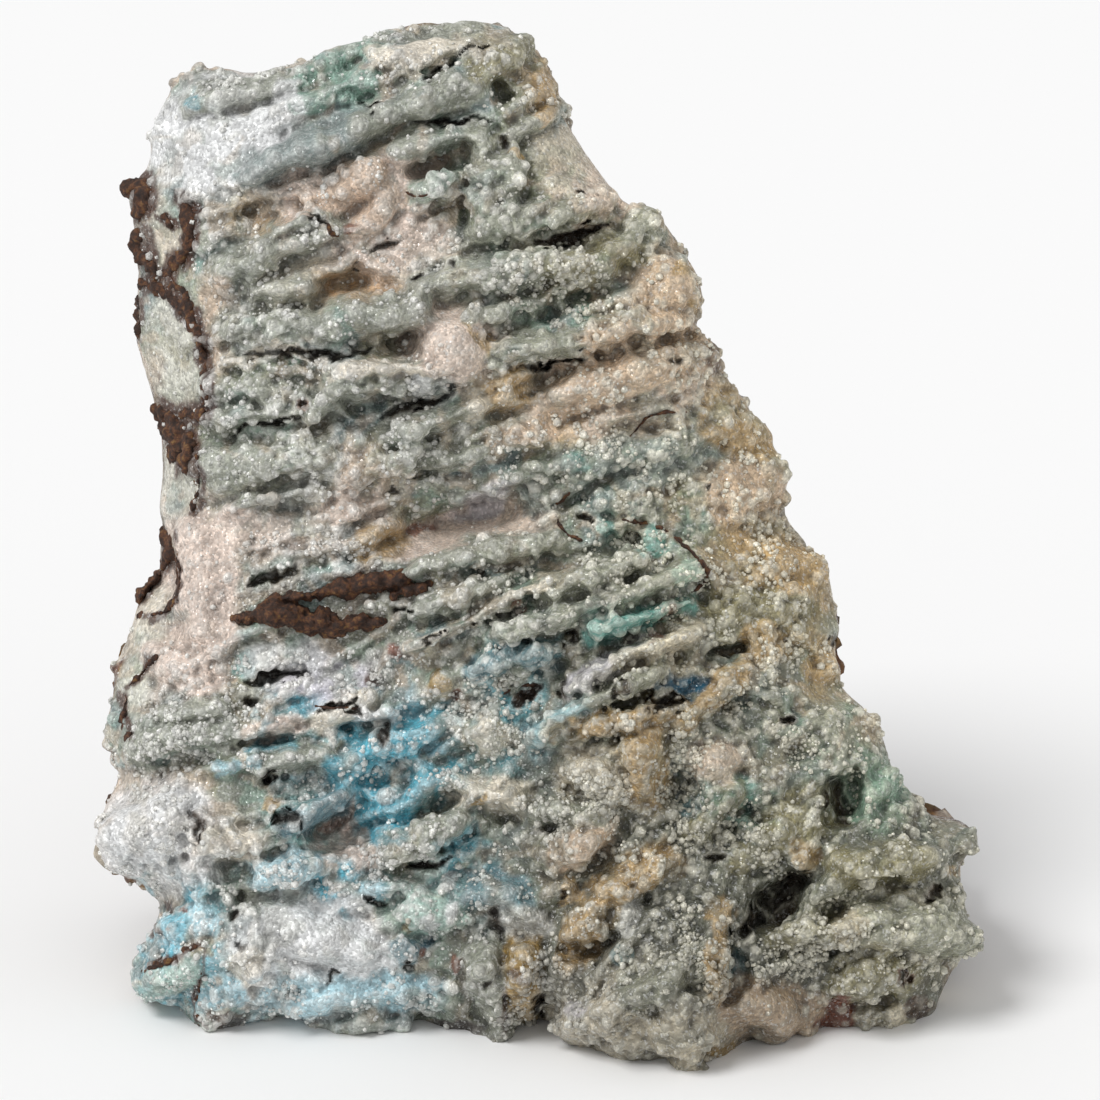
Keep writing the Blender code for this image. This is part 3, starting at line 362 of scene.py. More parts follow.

# Brown and ochre stains that lie on the crust, and near-black umber painted as shade in two holes: x, h,
# half length, half height, tilt, colour, strength
STAINS = [
    (-3.3, 139.2, 1.0, 0.8, 0.0, "ochre", 0.9), (-17.5, 82.6, 2.8, 1.2, 15.0, "rust", 0.8),
    (5.0, 127.2, 5.5, 0.8, 18.0, "rust", 0.6), (-22.0, 63.8, 1.4, 1.2, 0.0, "rust", 0.9),
    (-25.0, 60.5, 1.3, 1.2, 0.0, "limonite", 0.9), (-12.5, 58.0, 1.2, 1.0, 0.0, "rust", 0.8),
    (-14.8, 60.5, 1.8, 1.4, 0.0, "ochre", 0.7), (17.5, 67.0, 1.3, 0.9, 0.0, "rust", 0.8),
    (19.5, 70.5, 1.2, 0.8, 0.0, "rust", 0.7), (-3.5, 70.7, 1.0, 0.7, 0.0, "rust", 0.8),
    (22.0, 121.5, 1.5, 1.2, 0.0, "ochre", 0.6), (23.2, 116.3, 1.2, 1.5, 0.0, "ochre", 0.7),
    (34.0, 94.5, 1.8, 1.4, 0.0, "ochre", 0.6), (25.5, 108.5, 1.5, 3.0, 0.0, "limonite", 0.7),
    (-9.0, 41.6, 1.2, 0.8, 45.0, "ochre", 0.8), (-20.0, 23.3, 1.0, 0.7, 0.0, "ochre", 0.7),
    (44.6, 10.2, 2.6, 2.7, 10.0, "rust", 1.0), (27.0, 4.2, 3.4, 1.2, 20.0, "ochre", 0.8),
    (-47.0, 8.6, 3.0, 1.2, 0.0, "limonite", 0.8), (-55.5, 26.5, 0.9, 0.8, 0.0, "limonite", 0.9),
    (-57.5, 22.5, 0.9, 0.7, 0.0, "limonite", 0.9), (-53.3, 25.7, 0.6, 0.5, 0.0, "rust", 0.9),
    (-55.3, 18.0, 4.2, 0.35, 25.0, "limonite", 0.9), (-51.0, 14.0, 0.4, 6.0, 0.0, "limonite", 0.8),
    (-17.5, 19.5, 1.0, 0.5, 40.0, "rust", 0.8), (-12.5, 17.5, 0.5, 1.6, 20.0, "rust", 0.8),
    (-5.2, 10.0, 0.8, 3.5, -8.0, "limonite", 0.85), (-3.0, 15.5, 1.2, 0.7, 0.0, "limonite", 0.8),
    (-36.2, 101.5, 1.2, 1.0, 0.0, "rust", 0.7), (-8.8, 111.5, 0.5, 3.0, 40.0, "ochre", 0.6),
    (14.0, 56.6, 3.6, 0.9, 20.0, "moss", 0.8), (54.3, 15.2, 1.1, 1.1, 0.0, "rust", 0.9),
    (57.4, 10.6, 1.8, 2.4, 0.0, "limonite", 0.8), (-14.0, 7.6, 5.0, 2.2, 0.0, "umber", 0.95),
    # The umber rows at 44.0, 65.3 and 36.4, 54.9 are painted shade in two holes
    (62.0, 31.6, 1.0, 1.0, 0.0, "tan", 0.6), (44.0, 65.3, 1.0, 1.0, 0.0, "umber", 0.8),
    (36.4, 54.9, 1.6, 0.9, 0.0, "umber", 0.8), (-3.0, 57.4, 2.6, 1.1, 25.0, "rust", 0.9),
    (-23.3, 51.6, 1.2, 2.2, 0.0, "limonite", 0.8), (-51.5, 37.5, 0.9, 2.2, 0.0, "limonite", 0.8),
]

# Smooth places where few nodules grow: x, h, half length, half height, tilt in degrees
SMOOTH_PLACES = [
    (-48.0, 141.5, 10.0, 6.0, 20.0), (-28.5, 119.5, 7.5, 3.2, 10.0), (4.0, 138.5, 5.0, 4.0, -55.0),
    (-12.0, 83.0, 13.0, 3.4, 15.0), (-51.0, 76.0, 6.0, 12.0, -5.0), (-33.0, 21.5, 9.0, 6.0, -12.0),
    (-29.0, 38.5, 6.5, 5.0, 10.0), (-58.0, 105.0, 6.5, 34.0, 0.0), (-61.0, 65.0, 4.5, 10.0, 0.0),
    (-15.0, 8.0, 5.0, 3.0, 0.0), (33.0, 9.0, 8.0, 5.0, 0.0), (-13.0, 110.0, 5.0, 5.0, 0.0),
    (-36.0, 69.5, 11.0, 2.6, -4.0), (-26.0, 74.0, 8.0, 2.4, 8.0), (-35.5, 139.3, 11.0, 3.0, 22.0),
    (44.6, 9.8, 3.0, 3.0, 0.0),
]

# Places thick with white nodules: x, h, half length, half height, tilt in degrees
SUGARY_PLACES = [
    (-32.0, 60.0, 8.0, 3.5, 5.0), (-38.0, 114.0, 12.0, 3.0, 5.0), (-45.0, 102.0, 8.0, 4.0, 0.0),
    (44.0, 20.0, 9.0, 6.0, 0.0), (34.0, 35.0, 6.0, 5.0, 40.0), (-55.0, 52.0, 8.0, 5.0, 0.0),
    (13.0, 42.0, 14.0, 9.0, 20.0), (4.0, 14.0, 8.0, 8.0, 0.0), (-16.0, 30.0, 7.0, 7.0, 0.0),
    (5.0, 120.0, 18.0, 6.0, 10.0), (-36.0, 30.0, 12.0, 4.0, 0.0), (20.0, 20.0, 10.0, 8.0, 0.0),
]

# Limonite plates that jut from the crust: x, h at one end, x, h at the other, thickness, stand, mm
PLATES = [
    (-46.0, 68.8, -41.5, 70.0, 2.0, 2.2), (-42.5, 70.0, -37.0, 69.8, 3.6, 2.6),
    (-38.0, 69.6, -31.5, 68.2, 4.2, 2.8), (-32.0, 68.2, -24.5, 68.6, 3.0, 2.6),
    (-32.0, 73.2, -27.5, 73.9, 3.6, 2.8), (-28.5, 74.2, -21.5, 74.9, 3.8, 2.8),
    (-22.0, 72.6, -16.5, 74.3, 1.6, 2.4), (-41.0, 72.0, -32.5, 73.0, 1.4, 2.0),
]

# Thin brown rims of broken shells and tubes: points of each rim as x, h, then thickness, mm
RIMS = [
    ([(3.0, 83.0), (2.4, 84.8), (2.6, 86.6), (4.4, 88.0)], 0.9),
    ([(3.0, 83.0), (4.4, 81.6), (6.2, 81.0)], 0.8),
    ([(12.5, 84.0), (17.0, 83.3), (20.0, 81.6), (22.5, 79.4), (25.2, 76.6)], 0.9),
    ([(25.2, 76.6), (25.0, 75.0), (22.6, 73.0)], 0.9),
    ([(13.5, 96.5), (16.0, 99.4), (19.0, 100.3), (22.0, 100.1)], 0.7),
    ([(-6.0, 56.0), (-5.8, 57.6), (-3.4, 59.2), (-0.6, 59.4)], 0.6),
    ([(-33.8, 56.0), (-30.5, 55.7), (-27.4, 55.9)], 0.5),
    ([(-31.8, 128.4), (-31.4, 127.0), (-30.2, 126.6)], 0.6),
    ([(-20.0, 133.2), (-18.6, 132.4), (-14.0, 133.4)], 0.5),
]

# Limonite veins on the broken left edge: points of each vein as x, h, then thickness, mm
VEINS = [
    ([(-61.2, 134.0), (-59.6, 134.2), (-59.2, 131.5), (-60.2, 130.2)], 2.2),
    ([(-53.5, 132.0), (-52.6, 129.5), (-52.4, 127.0), (-53.0, 124.0), (-55.5, 121.2)], 1.8),
    ([(-60.2, 126.5), (-59.6, 123.5), (-57.6, 121.0)], 1.9),
    ([(-57.0, 129.5), (-55.9, 129.4), (-55.5, 128.0)], 0.9),
    ([(-59.5, 119.5), (-57.2, 118.8), (-55.0, 117.5), (-53.2, 115.6), (-52.0, 113.5),
      (-50.9, 110.8), (-50.2, 108.0), (-49.8, 104.5), (-49.8, 101.5), (-51.0, 99.6),
      (-53.0, 100.3)], 1.5),
    ([(-56.0, 121.0), (-53.8, 118.4), (-52.2, 115.4)], 1.2),
    ([(-60.3, 117.0), (-60.2, 111.5)], 1.0),
    ([(-57.4, 100.8), (-55.5, 99.6), (-53.6, 97.4), (-52.4, 95.0), (-52.8, 92.0)], 2.0),
    ([(-56.0, 97.8), (-54.6, 96.0), (-54.2, 94.0)], 2.2),
    ([(-56.4, 82.2), (-55.4, 80.4), (-55.0, 78.6), (-56.2, 77.8)], 1.7),
    ([(-57.2, 76.0), (-58.6, 74.2), (-60.2, 72.3)], 0.9),
    ([(-51.5, 94.0), (-51.0, 90.0), (-52.0, 85.5)], 0.6),
    ([(-54.5, 79.0), (-54.0, 75.5), (-54.2, 72.5), (-56.0, 70.2), (-59.6, 69.6)], 0.6),
    ([(-61.5, 59.2), (-59.4, 61.6), (-57.8, 63.5)], 0.7),
    ([(-62.0, 58.0), (-62.6, 54.0), (-61.6, 51.0)], 0.7),
    ([(-59.5, 16.2), (-55.0, 18.0), (-51.5, 20.0)], 0.6),
    ([(-51.0, 8.0), (-51.4, 12.0), (-50.8, 16.0)], 0.5),
]

# Which way the ledges run: x, h, degrees up to the right
GRAIN = [
    (-40.0, 142.0, 22.0), (-10.0, 150.0, 22.0), (0.0, 135.0, 25.0), (-35.0, 122.0, 8.0),
    (-5.0, 120.0, 14.0), (-35.0, 105.0, 4.0), (10.0, 110.0, 16.0), (-15.0, 98.0, 12.0),
    (-38.0, 92.0, 6.0), (10.0, 92.0, 18.0), (-38.0, 78.0, 14.0), (-8.0, 77.0, 18.0),
    (10.0, 72.0, 24.0), (8.0, 60.0, 35.0), (35.0, 75.0, -50.0), (35.0, 58.0, -20.0),
    (-50.0, 52.0, 8.0), (-30.0, 50.0, 14.0), (-16.0, 38.0, 24.0), (15.0, 48.0, 40.0),
    (45.0, 40.0, -45.0), (52.0, 28.0, 4.0), (-45.0, 30.0, 6.0), (-35.0, 15.0, 4.0),
    (-8.0, 15.0, 80.0), (10.0, 22.0, 40.0), (26.0, 20.0, 75.0), (42.0, 18.0, 20.0),
]
SMALL_LEDGES = 300

# Pale ground with no ledges but those in the table
PALE_GROUND = [
    (-28.0, 133.0, 13.0, 5.0, 20.0), (-25.0, 124.0, 9.0, 5.0, 10.0), (10.0, 105.0, 14.0, 5.0, 15.0),
    (-52.0, 80.0, 8.0, 20.0, 0.0), (31.0, 88.0, 7.0, 7.0, 0.0), (-57.0, 37.0, 10.0, 9.0, 0.0),
    (-35.0, 139.5, 12.0, 4.0, 22.0), (16.0, 47.0, 5.0, 7.0, 0.0), (19.0, 118.0, 6.0, 7.0, 0.0),
]
LEDGE_RISE = 1.25


def linear(hex_colour):
    """An sRGB hex colour as linear red, green and blue."""
    values = [int(hex_colour[i:i + 2], 16) / 255 for i in (1, 3, 5)]
    return tuple(v / 12.92 if v <= 0.04045 else ((v + 0.055) / 1.055) ** 2.4 for v in values)


# Colours of the crust, by the names used in the tables
PALETTE = {
    "sage": "#979a8d",
    "fern": "#83a294",
    "moss": "#8a8568",
    "pewter": "#62645a",
    "slate": "#86918f",
    "steel": "#6c8c96",
    "white": "#dfe0e0",
    "chalk": "#d3d2c6",
    "cream": "#d9d0c0",
    "blush": "#d8c6b9",
    "pink": "#cbb49f",
    "lilac": "#d3d0da",
    "tan": "#b89c72",
    "apricot": "#cba982",
    "ochre": "#a98a4e",
    "aqua": "#a9ccd6",
    "mint": "#a9c3b9",
    "teal": "#6fa9a6",
    "turquoise": "#5caabd",
    "deep_blue": "#1f6184",
    "rust": "#74402a",
    "limonite": "#4b3226",
    "umber": "#2c211a",
    # Painted shade for the narrow gaps
    "gap_shade": "#584a3b",
    "recess": "#cbb5a2",
    # Brown dust on the matrix, and painted shade in the crust's recesses
    "dust_and_shade": "#5f513f",
}


def colour_property(name, description, default):
    return bpy.props.FloatVectorProperty(
        name=name, description=description, subtype="COLOR", size=3, min=0, max=1,
        default=linear(default),
    )


def length_property(name, description, default):
    return bpy.props.FloatProperty(
        name=name, description=description, subtype="DISTANCE", unit="LENGTH", min=0,
        default=default,
    )


class CrustSettings(bpy.types.PropertyGroup):
    voxel: length_property("Mesh size", "Edge length of the crust's mesh", 0.00044)
    nodules: bpy.props.IntProperty(
        name="Nodules", description="Number of round nodules grown into the crust", default=7000, min=0,
    )
    nodule_radius: length_property("Nodule radius", "Typical radius of a nodule", 0.00062)
    grain: length_property("Grain", "Width of the small grains between nodules", 0.0012)
    grain_height: length_property("Grain height", "Height of the small grains", 0.0002)
    white: colour_property("Nodule white", "Colour of the pale nodules", "#e6e5e0")
    beads: bpy.props.IntProperty(
        name="Beads", description="Number of tiny white beads strewn on the crust", default=9000, min=0,
    )
    bead_radius: length_property("Bead radius", "Typical radius of a bead", 0.00031)


class MatrixSettings(bpy.types.PropertyGroup):
    roughness: length_property("Roughness", "Height of the broken lumps of the back", 0.0032)
    brown: colour_property("Limonite", "Brown of the limonite", "#40291c")
    rust: colour_property("Rust", "Orange brown of weathered limonite", "#5e3a24")
    ochre: colour_property("Ochre", "Yellowish flecks on weathered limonite", "#7d5f36")
    dark: colour_property("Dark", "Near black of fresh limonite", "#261710")


class StageSettings(bpy.types.PropertyGroup):
    floor: colour_property("Floor", "Colour of the pale floor", "#f4f4f4")
    sky: bpy.props.FloatProperty(
        name="Surround", description="Strength of the even light all round", default=0.6, min=0,
    )
    key: bpy.props.FloatProperty(
        name="Key light", description="Strength of the soft light from above left", default=1.85, min=0,
    )


def coordinates(mesh):
    """The mesh's vertices as an array, one row each."""
    flat = np.empty(len(mesh.vertices) * 3, dtype=np.float32)
    mesh.vertices.foreach_get("co", flat)
    return flat.reshape(-1, 3).astype(float)


def set_coordinates(mesh, points):
    mesh.vertices.foreach_set("co", points.astype(np.float32).ravel())
    mesh.update()


def vertex_normals(mesh):
    flat = np.empty(len(mesh.vertices) * 3, dtype=np.float32)
    mesh.vertex_normals.foreach_get("vector", flat)
    return flat.reshape(-1, 3).astype(float)


def evaluated_mesh(item):
    """The object's mesh with its modifiers applied; the object itself is removed."""
    graph = bpy.context.evaluated_depsgraph_get()
    mesh = bpy.data.meshes.new_from_object(item.evaluated_get(graph))
    bpy.data.objects.remove(item, do_unlink=True)
    return mesh


def voxel_remesh(mesh, size):
    item = bpy.data.objects.new("remesh", mesh)
    bpy.context.scene.collection.objects.link(item)
    remesh = item.modifiers.new("voxels", "REMESH")
    remesh.mode = "VOXEL"
    remesh.voxel_size = size
    return evaluated_mesh(item)


def lattice_random(cell, salt):
    """A repeatable random number from 0 to 1 for each whole-numbered cell."""
    mixed = cell[:, 0] * 73856093 ^ cell[:, 1] * 19349663 ^ cell[:, 2] * 83492791 ^ salt * 49979687
    mixed = ((mixed ^ (mixed >> 13)) * 1274126177) & 0x7FFFFFFF
    mixed = ((mixed ^ (mixed >> 15)) * 668265263) & 0x7FFFFFFF
    return (mixed >> 7) % 65521 / 65521


def waves(points, size, salt=0):
    """Smooth random waves of the given width at each point, about -1 to 1."""
    spot = points / size
    cell = np.floor(spot).astype(np.int64)
    t = spot - cell
    t = t * t * (3 - 2 * t)
    total = np.zeros(len(points))
    for corner in np.ndindex(2, 2, 2):
        share = np.prod(np.where(corner, t, 1 - t), axis=1)
        total += share * lattice_random(cell + np.array(corner), salt)
    return 2.6 * (total - 0.5)


def domes(points, size, salt=0):
    """Round-topped cells packed side by side: 1 at a cell's middle, 0 where cells meet."""
    spot = points / size
    cell = np.floor(spot).astype(np.int64)
    near = np.full(len(points), 9.0)
    for step in np.ndindex(3, 3, 3):
        other = cell + np.array(step) - 1
        middle = np.stack([lattice_random(other, salt + axis) for axis in range(3)], axis=1)
        near = np.minimum(near, ((middle + other - spot) ** 2).sum(axis=1))
    return np.clip(1 - near / 0.6, 0, 1)


def drifted(points):
    """The place of each point on the face, shifted a little so that painted edges wander."""
    x = points[:, 0] + 0.0010 * waves(points, 0.0036, 7) + 0.0004 * waves(points, 0.0012, 8)
    h = points[:, 1] + 0.0009 * waves(points, 0.0034, 11) + 0.0004 * waves(points, 0.0011, 12)
    return x, h


def ellipse_reach(x, h, row):
    """Distance from an ellipse's middle, counted in its half sizes."""
    cx, ch, half_long, half_high, tilt = row[:5]
    dx, dh = x / MM - cx, h / MM - ch
    turn = math.radians(tilt)
    along = (dx * math.cos(turn) + dh * math.sin(turn)) / half_long
    across = (dh * math.cos(turn) - dx * math.sin(turn)) / half_high
    return np.sqrt(along**2 + across**2)


def outline_slab():
    """The face's outline as a slab; its front lies at relief 0."""
    curve = bpy.data.curves.new("outline", "CURVE")
    curve.dimensions = "2D"
    curve.fill_mode = "BOTH"
    curve.extrude = SLAB_THICKNESS / 2
    spline = curve.splines.new("POLY")
    spline.points.add(len(OUTLINE) - 1)
    for point, (x, h) in zip(spline.points, OUTLINE):
        point.co = (x * MM, h * MM, 0.0, 1.0)
    spline.use_cyclic_u = True
    item = bpy.data.objects.new("outline", curve)
    bpy.context.scene.collection.objects.link(item)
    mesh = evaluated_mesh(item)
    mesh.transform(Matrix.Translation((0, 0, -SLAB_THICKNESS / 2)))
    welded = bmesh.new()
    welded.from_mesh(mesh)
    bmesh.ops.remove_doubles(welded, verts=welded.verts, dist=0.00001)
    welded.to_mesh(mesh)
    welded.free()
    return mesh


def depth_inside(x, h):
    """Distance from each place on the face to the nearest side of the outline."""
    nearest = np.full(len(x), 1.0)
    for (x0, h0), (x1, h1) in zip(OUTLINE, OUTLINE[1:] + OUTLINE[:1]):
        x0, h0, x1, h1 = (value * MM for value in (x0, h0, x1, h1))
        along_x, along_h = x1 - x0, h1 - h0
        t = ((x - x0) * along_x + (h - h0) * along_h) / (along_x**2 + along_h**2)
        t = np.clip(t, 0, 1)
        away = np.hypot(x - x0 - along_x * t, h - h0 - along_h * t)
        nearest = np.minimum(nearest, away)
    return nearest


def broad_relief(x, h):
    relief = np.zeros_like(x)
    for cx, ch, wide, high, rise in SWELLS:
        reach = ((x - cx * MM) / (wide * MM)) ** 2 + ((h - ch * MM) / (high * MM)) ** 2
        relief += rise * MM * np.exp(-reach)
    return relief


def shape_core(mesh):
    """Gives the slab round front edges, its thickness from base to top and its broad swells."""
    x, h, relief = coordinates(mesh).T
    short = np.clip(EDGE_ROUND - depth_inside(x, h), 0, EDGE_ROUND)
    drop = EDGE_ROUND - np.sqrt(EDGE_ROUND**2 - short**2)
    relief = relief - drop * np.clip(1 + relief / EDGE_ROUND, 0, 1)
    share = np.clip(h / FACE_HEIGHT, 0, 1)
    thickness = BASE_THICKNESS + (TOP_THICKNESS - BASE_THICKNESS) * share
    behind = np.minimum(relief + EDGE_ROUND, 0)
    stretch = (thickness - EDGE_ROUND) / (SLAB_THICKNESS - EDGE_ROUND)
    relief = np.maximum(relief, -EDGE_ROUND) + behind * stretch
    front_share = np.clip(1 + relief / BASE_THICKNESS, 0, 1)
    relief = relief + broad_relief(x, h) * front_share
    set_coordinates(mesh, np.column_stack((x, h, relief)))


def face_finder(mesh):
    """A function that gives the relief of the mesh's front at a place on the face."""
    corners = [v.co for v in mesh.vertices]
    tree = BVHTree.FromPolygons(corners, [p.vertices for p in mesh.polygons])

    def relief_at(x, h):
        hit = tree.ray_cast(Vector((x, h, 1.0)), Vector((0, 0, -1)))[0]
        if hit is None:
            return -EDGE_ROUND
        return hit.z

    return relief_at


def ledge_balls(relief_at, ledge, chance):
    """A ledge is a row of uneven overlapping ellipsoids, thinner at its two ends."""
    x0, h0, x1, h1, thickness, stand = (value * MM for value in ledge[:6])
    length = math.hypot(x1 - x0, h1 - h0)
    tilt = math.atan2(h1 - h0, x1 - x0)
    count = max(2, math.ceil(length / (0.45 * thickness)) + 1)
    balls = []
    for index in range(count):
        t = index / (count - 1)
        shift = chance.uniform(-0.12, 0.12, 2) * thickness
        x = x0 + (x1 - x0) * t + shift[0]
        h = h0 + (h1 - h0) * t + shift[1]
        taper = (1 - 0.22 * abs(2 * t - 1) ** 3) * chance.uniform(0.82, 1.16)
        rise = stand * LEDGE_RISE * taper
        half_deep = max(0.8 * thickness, rise + 0.0015)
        centre = (x, h, relief_at(x, h) + rise - half_deep)
        balls.append((centre, (0.5 * thickness, 0.5 * thickness * taper, half_deep), tilt))
    return balls


def lump_ball(relief_at, lump):
    x, h, radius, stand = (value * MM for value in lump[:4])
    half_deep = max(radius, stand + 0.001)
    return (x, h, relief_at(x, h) + stand - half_deep), (radius, radius, half_deep), 0.0


def stub_finger_balls():
    start, end, thickness = STUB_FINGER
    steps = np.linspace(0, 1, 9)[:, None]
    centres = (np.array(start) + (np.array(end) - np.array(start)) * steps) * MM
    return [(centre, [thickness * MM / 2] * 3, 0.0) for centre in centres]


def ball_mesh(balls, level=2):
    """Many ellipsoids as one mesh, each repeated from the same small sphere."""
    sphere = bmesh.new()
    bmesh.ops.create_icosphere(sphere, subdivisions=level, radius=1.0)
    corners = np.array([v.co for v in sphere.verts])
    faces = np.array([[v.index for v in face.verts] for face in sphere.faces])
    sphere.free()
    centres = np.array([ball[0] for ball in balls], dtype=float)
    half_sizes = np.array([ball[1] for ball in balls], dtype=float)
    tilts = np.array([ball[2] for ball in balls], dtype=float)[:, None]
    grown = corners[None] * half_sizes[:, None]
    sine, cosine = np.sin(tilts), np.cos(tilts)
    turned = np.stack((
        grown[:, :, 0] * cosine - grown[:, :, 1] * sine,
        grown[:, :, 0] * sine + grown[:, :, 1] * cosine,
        grown[:, :, 2],
    ), axis=2)
    points = turned + centres[:, None]
    shift = np.arange(len(balls)) * len(corners)
    faces = (faces[None] + shift[:, None, None]).reshape(-1, 3)
    mesh = bpy.data.meshes.new("ellipsoids")
    mesh.from_pydata(points.reshape(-1, 3), [], faces)
    return mesh


def join(meshes):
    """Several meshes as one, without merging them."""
    joined = bmesh.new()
    for mesh in meshes:
        joined.from_mesh(mesh)
    result = bpy.data.meshes.new("joined")
    joined.to_mesh(result)
    joined.free()
    return result


def grain_angle(x, h):
    """Which way the ledges run at a place, in degrees."""
    weights = [1 / ((x - gx) ** 2 + (h - gh) ** 2 + 20) ** 2 for gx, gh, _ in GRAIN]
    return sum(w * row[2] for w, row in zip(weights, GRAIN)) / sum(weights)


def small_ledges(chance):
    """Short extra ledges that run with the grain of the specimen, off its smooth places."""
    rows = []
    for _ in range(SMALL_LEDGES):
        x, h = chance.uniform(-57, 60), chance.uniform(5, 156)
        length, thickness = chance.uniform(6, 16), chance.uniform(1.6, 3.0)
        stand = chance.uniform(0.8, 2.4)
        turn = math.radians(grain_angle(x, h) + chance.normal(0, 6))
        place = (np.array([x * MM]), np.array([h * MM]))
        smooth = min(ellipse_reach(*place, row)[0] for row in SMOOTH_PLACES + PALE_GROUND) < 1
        if smooth or depth_inside(*place)[0] < 0.004 or not within_outline(x, h):
            continue
        dx, dh = math.cos(turn) * length / 2, math.sin(turn) * length / 2
        rows.append((x - dx, h - dh, x + dx, h + dh, thickness, stand))
    return rows


def within_outline(x, h):
    """Whether a place in mm lies inside the outline, by counting the sides to its right."""
    crossings = 0
    for (x0, h0), (x1, h1) in zip(OUTLINE, OUTLINE[1:] + OUTLINE[:1]):
        if (h0 > h) != (h1 > h) and x < x0 + (x1 - x0) * (h - h0) / (h1 - h0):
            crossings += 1
    return crossings % 2 == 1


def undercuts(ledges):
    """A shadowed groove along the lower side of each ledge, as rows like those of the hollows."""
    rows = []
    for x0, h0, x1, h1, thickness, stand, *_ in ledges:
        length = math.hypot(x1 - x0, h1 - h0)
        tilt = math.atan2(h1 - h0, x1 - x0)
        aside = 0.5 * thickness + 0.35
        if math.cos(tilt) < 0:
            aside = -aside
        x = (x0 + x1) / 2 + math.sin(tilt) * aside
        h = (h0 + h1) / 2 - math.cos(tilt) * aside
        depth = min(0.4 + 0.55 * stand, 2.6)
        rows.append((x, h, 0.62 * length, 0.55 + 0.1 * thickness, math.degrees(tilt), depth))
    return rows


def press(points, place, facing, rows, rim, strength=1.0):
    """Presses each hollow into the front; a hollow fades out at its rim."""
    for row in rows:
        depth = min(row[5], 2.2 * row[2]) * MM
        share = np.clip(1 - ellipse_reach(*place, row) ** 2, 0, 1) ** rim
        points[:, 2] -= depth * strength * share * facing


def build_base():
    """The block with its ledges, lumps and wide hollows, still without its fine crust."""
    chance = np.random.default_rng(SEED)
    core = voxel_remesh(outline_slab(), CORE_VOXEL)
    shape_core(core)
    relief_at = face_finder(core)
    balls = stub_finger_balls()
    ledges = LEDGES + small_ledges(chance)
    for ledge in ledges:
        balls += ledge_balls(relief_at, ledge, chance)
    for lump in LUMPS:
        balls.append(lump_ball(relief_at, lump))
    base = voxel_remesh(join([core, ball_mesh(balls)]), BASE_VOXEL)
    points, normals = coordinates(base), vertex_normals(base)
    facing = np.clip(normals[:, 2] * 3, 0, 1)
    place = drifted(points)
    press(points, place, facing, HOLLOWS, 0.7)
    press(points, place, facing, undercuts(ledges), 0.6)
    sine, cosine = math.sin(RIPPLE_TILT), math.cos(RIPPLE_TILT)
    along = points[:, 0] * cosine + points[:, 1] * sine
    across = points[:, 1] * cosine - points[:, 0] * sine
    grain = np.column_stack((along, across, points[:, 2]))
    calm = np.ones(len(points))
    for row in SMOOTH_PLACES:
        calm *= 1 - 0.75 * np.clip((1.2 - ellipse_reach(points[:, 0], points[:, 1], row)) * 3, 0, 1)
    ripple = RIPPLE_HEIGHT * waves(grain, np.array(RIPPLE_SIZE), 21)
    uneven = np.clip(0.6 + 0.9 * waves(points, 0.010, 5), 0, 1.3)
    lumps = SWELLING_HEIGHT * (domes(points, SWELLING_SIZE, 31) - 0.5) * uneven
    points += normals * ((ripple + lumps) * facing * calm)[:, None]
    set_coordinates(base, points)
    base.name = "specimen_base"
    return base


def base_mesh():
    """The block's mesh, built on first use."""
    found = bpy.data.meshes.get("specimen_base")
    return found or build_base()


def cut_mesh(mesh, place, direction):
    """Keeps what lies ahead of a plane and closes the cut with a flat, sharp-edged face."""
    cut = bmesh.new()
    cut.from_mesh(mesh)
    bmesh.ops.bisect_plane(
        cut, geom=cut.verts[:] + cut.edges[:] + cut.faces[:], dist=1e-7,
        plane_co=place, plane_no=direction, clear_inner=True,
    )
    open_edges = [edge for edge in cut.edges if edge.is_boundary]
    caps = bmesh.ops.holes_fill(cut, edges=open_edges)["faces"]
    for cap in caps:
        cap.smooth = False
        for edge in cap.edges:
            edge.smooth = False
    bmesh.ops.recalc_face_normals(cut, faces=cut.faces)
    result = bpy.data.meshes.new(mesh.name)
    cut.to_mesh(result)
    cut.free()
    return result


def triangles_of(mesh):
    mesh.calc_loop_triangles()
    flat = np.empty(len(mesh.loop_triangles) * 3, dtype=np.int32)
    mesh.loop_triangles.foreach_get("vertices", flat)
    return flat.reshape(-1, 3)


def scatter(corners, count, weight_at, chance):
    """Random places on the triangles, more where the weight is higher."""
    middle = corners.mean(axis=1)
    normal = np.cross(corners[:, 1] - corners[:, 0], corners[:, 2] - corners[:, 0])
    area = np.linalg.norm(normal, axis=1) / 2
    normal /= np.maximum(area[:, None] * 2, 1e-15)
    weight = area * weight_at(middle, normal)
    picked = chance.choice(len(area), size=count, p=weight / weight.sum())
    a, b = chance.random((2, count))
    over = a + b > 1
    a[over], b[over] = 1 - a[over], 1 - b[over]
    first, second, third = corners[picked].transpose(1, 0, 2)
    places = first + (second - first) * a[:, None] + (third - first) * b[:, None]
    return places, normal[picked]


def growth_weight(x, h, calm):
    """How thickly nodules and beads grow at a place on the face; calm is how bare smooth places are."""
    weight = np.where(h > 0.1, 0.55, 1.0)
    for row in SUGARY_PLACES:
        weight *= 1 + 1.6 * np.clip(1.3 - ellipse_reach(x, h, row), 0, 1)
    for row in SMOOTH_PLACES:
        weight *= 1 - calm * np.clip((1.2 - ellipse_reach(x, h, row)) * 3, 0, 1)
    return weight


def nodule_weight(middle, normal):
    """Nodules grow in clumps, mostly on what faces forward, and none behind."""
    x, h, relief = middle.T
    clumps = np.clip(0.35 + 1.9 * waves(middle, 0.0048, 3), 0.03, 1.8)
    weight = clumps * np.clip(normal[:, 2] + 0.3, 0, 1)
    weight *= np.clip((relief - CRUST_ENDS - 0.002) / 0.004, 0, 1)
    return weight * growth_weight(x, h, 0.93)


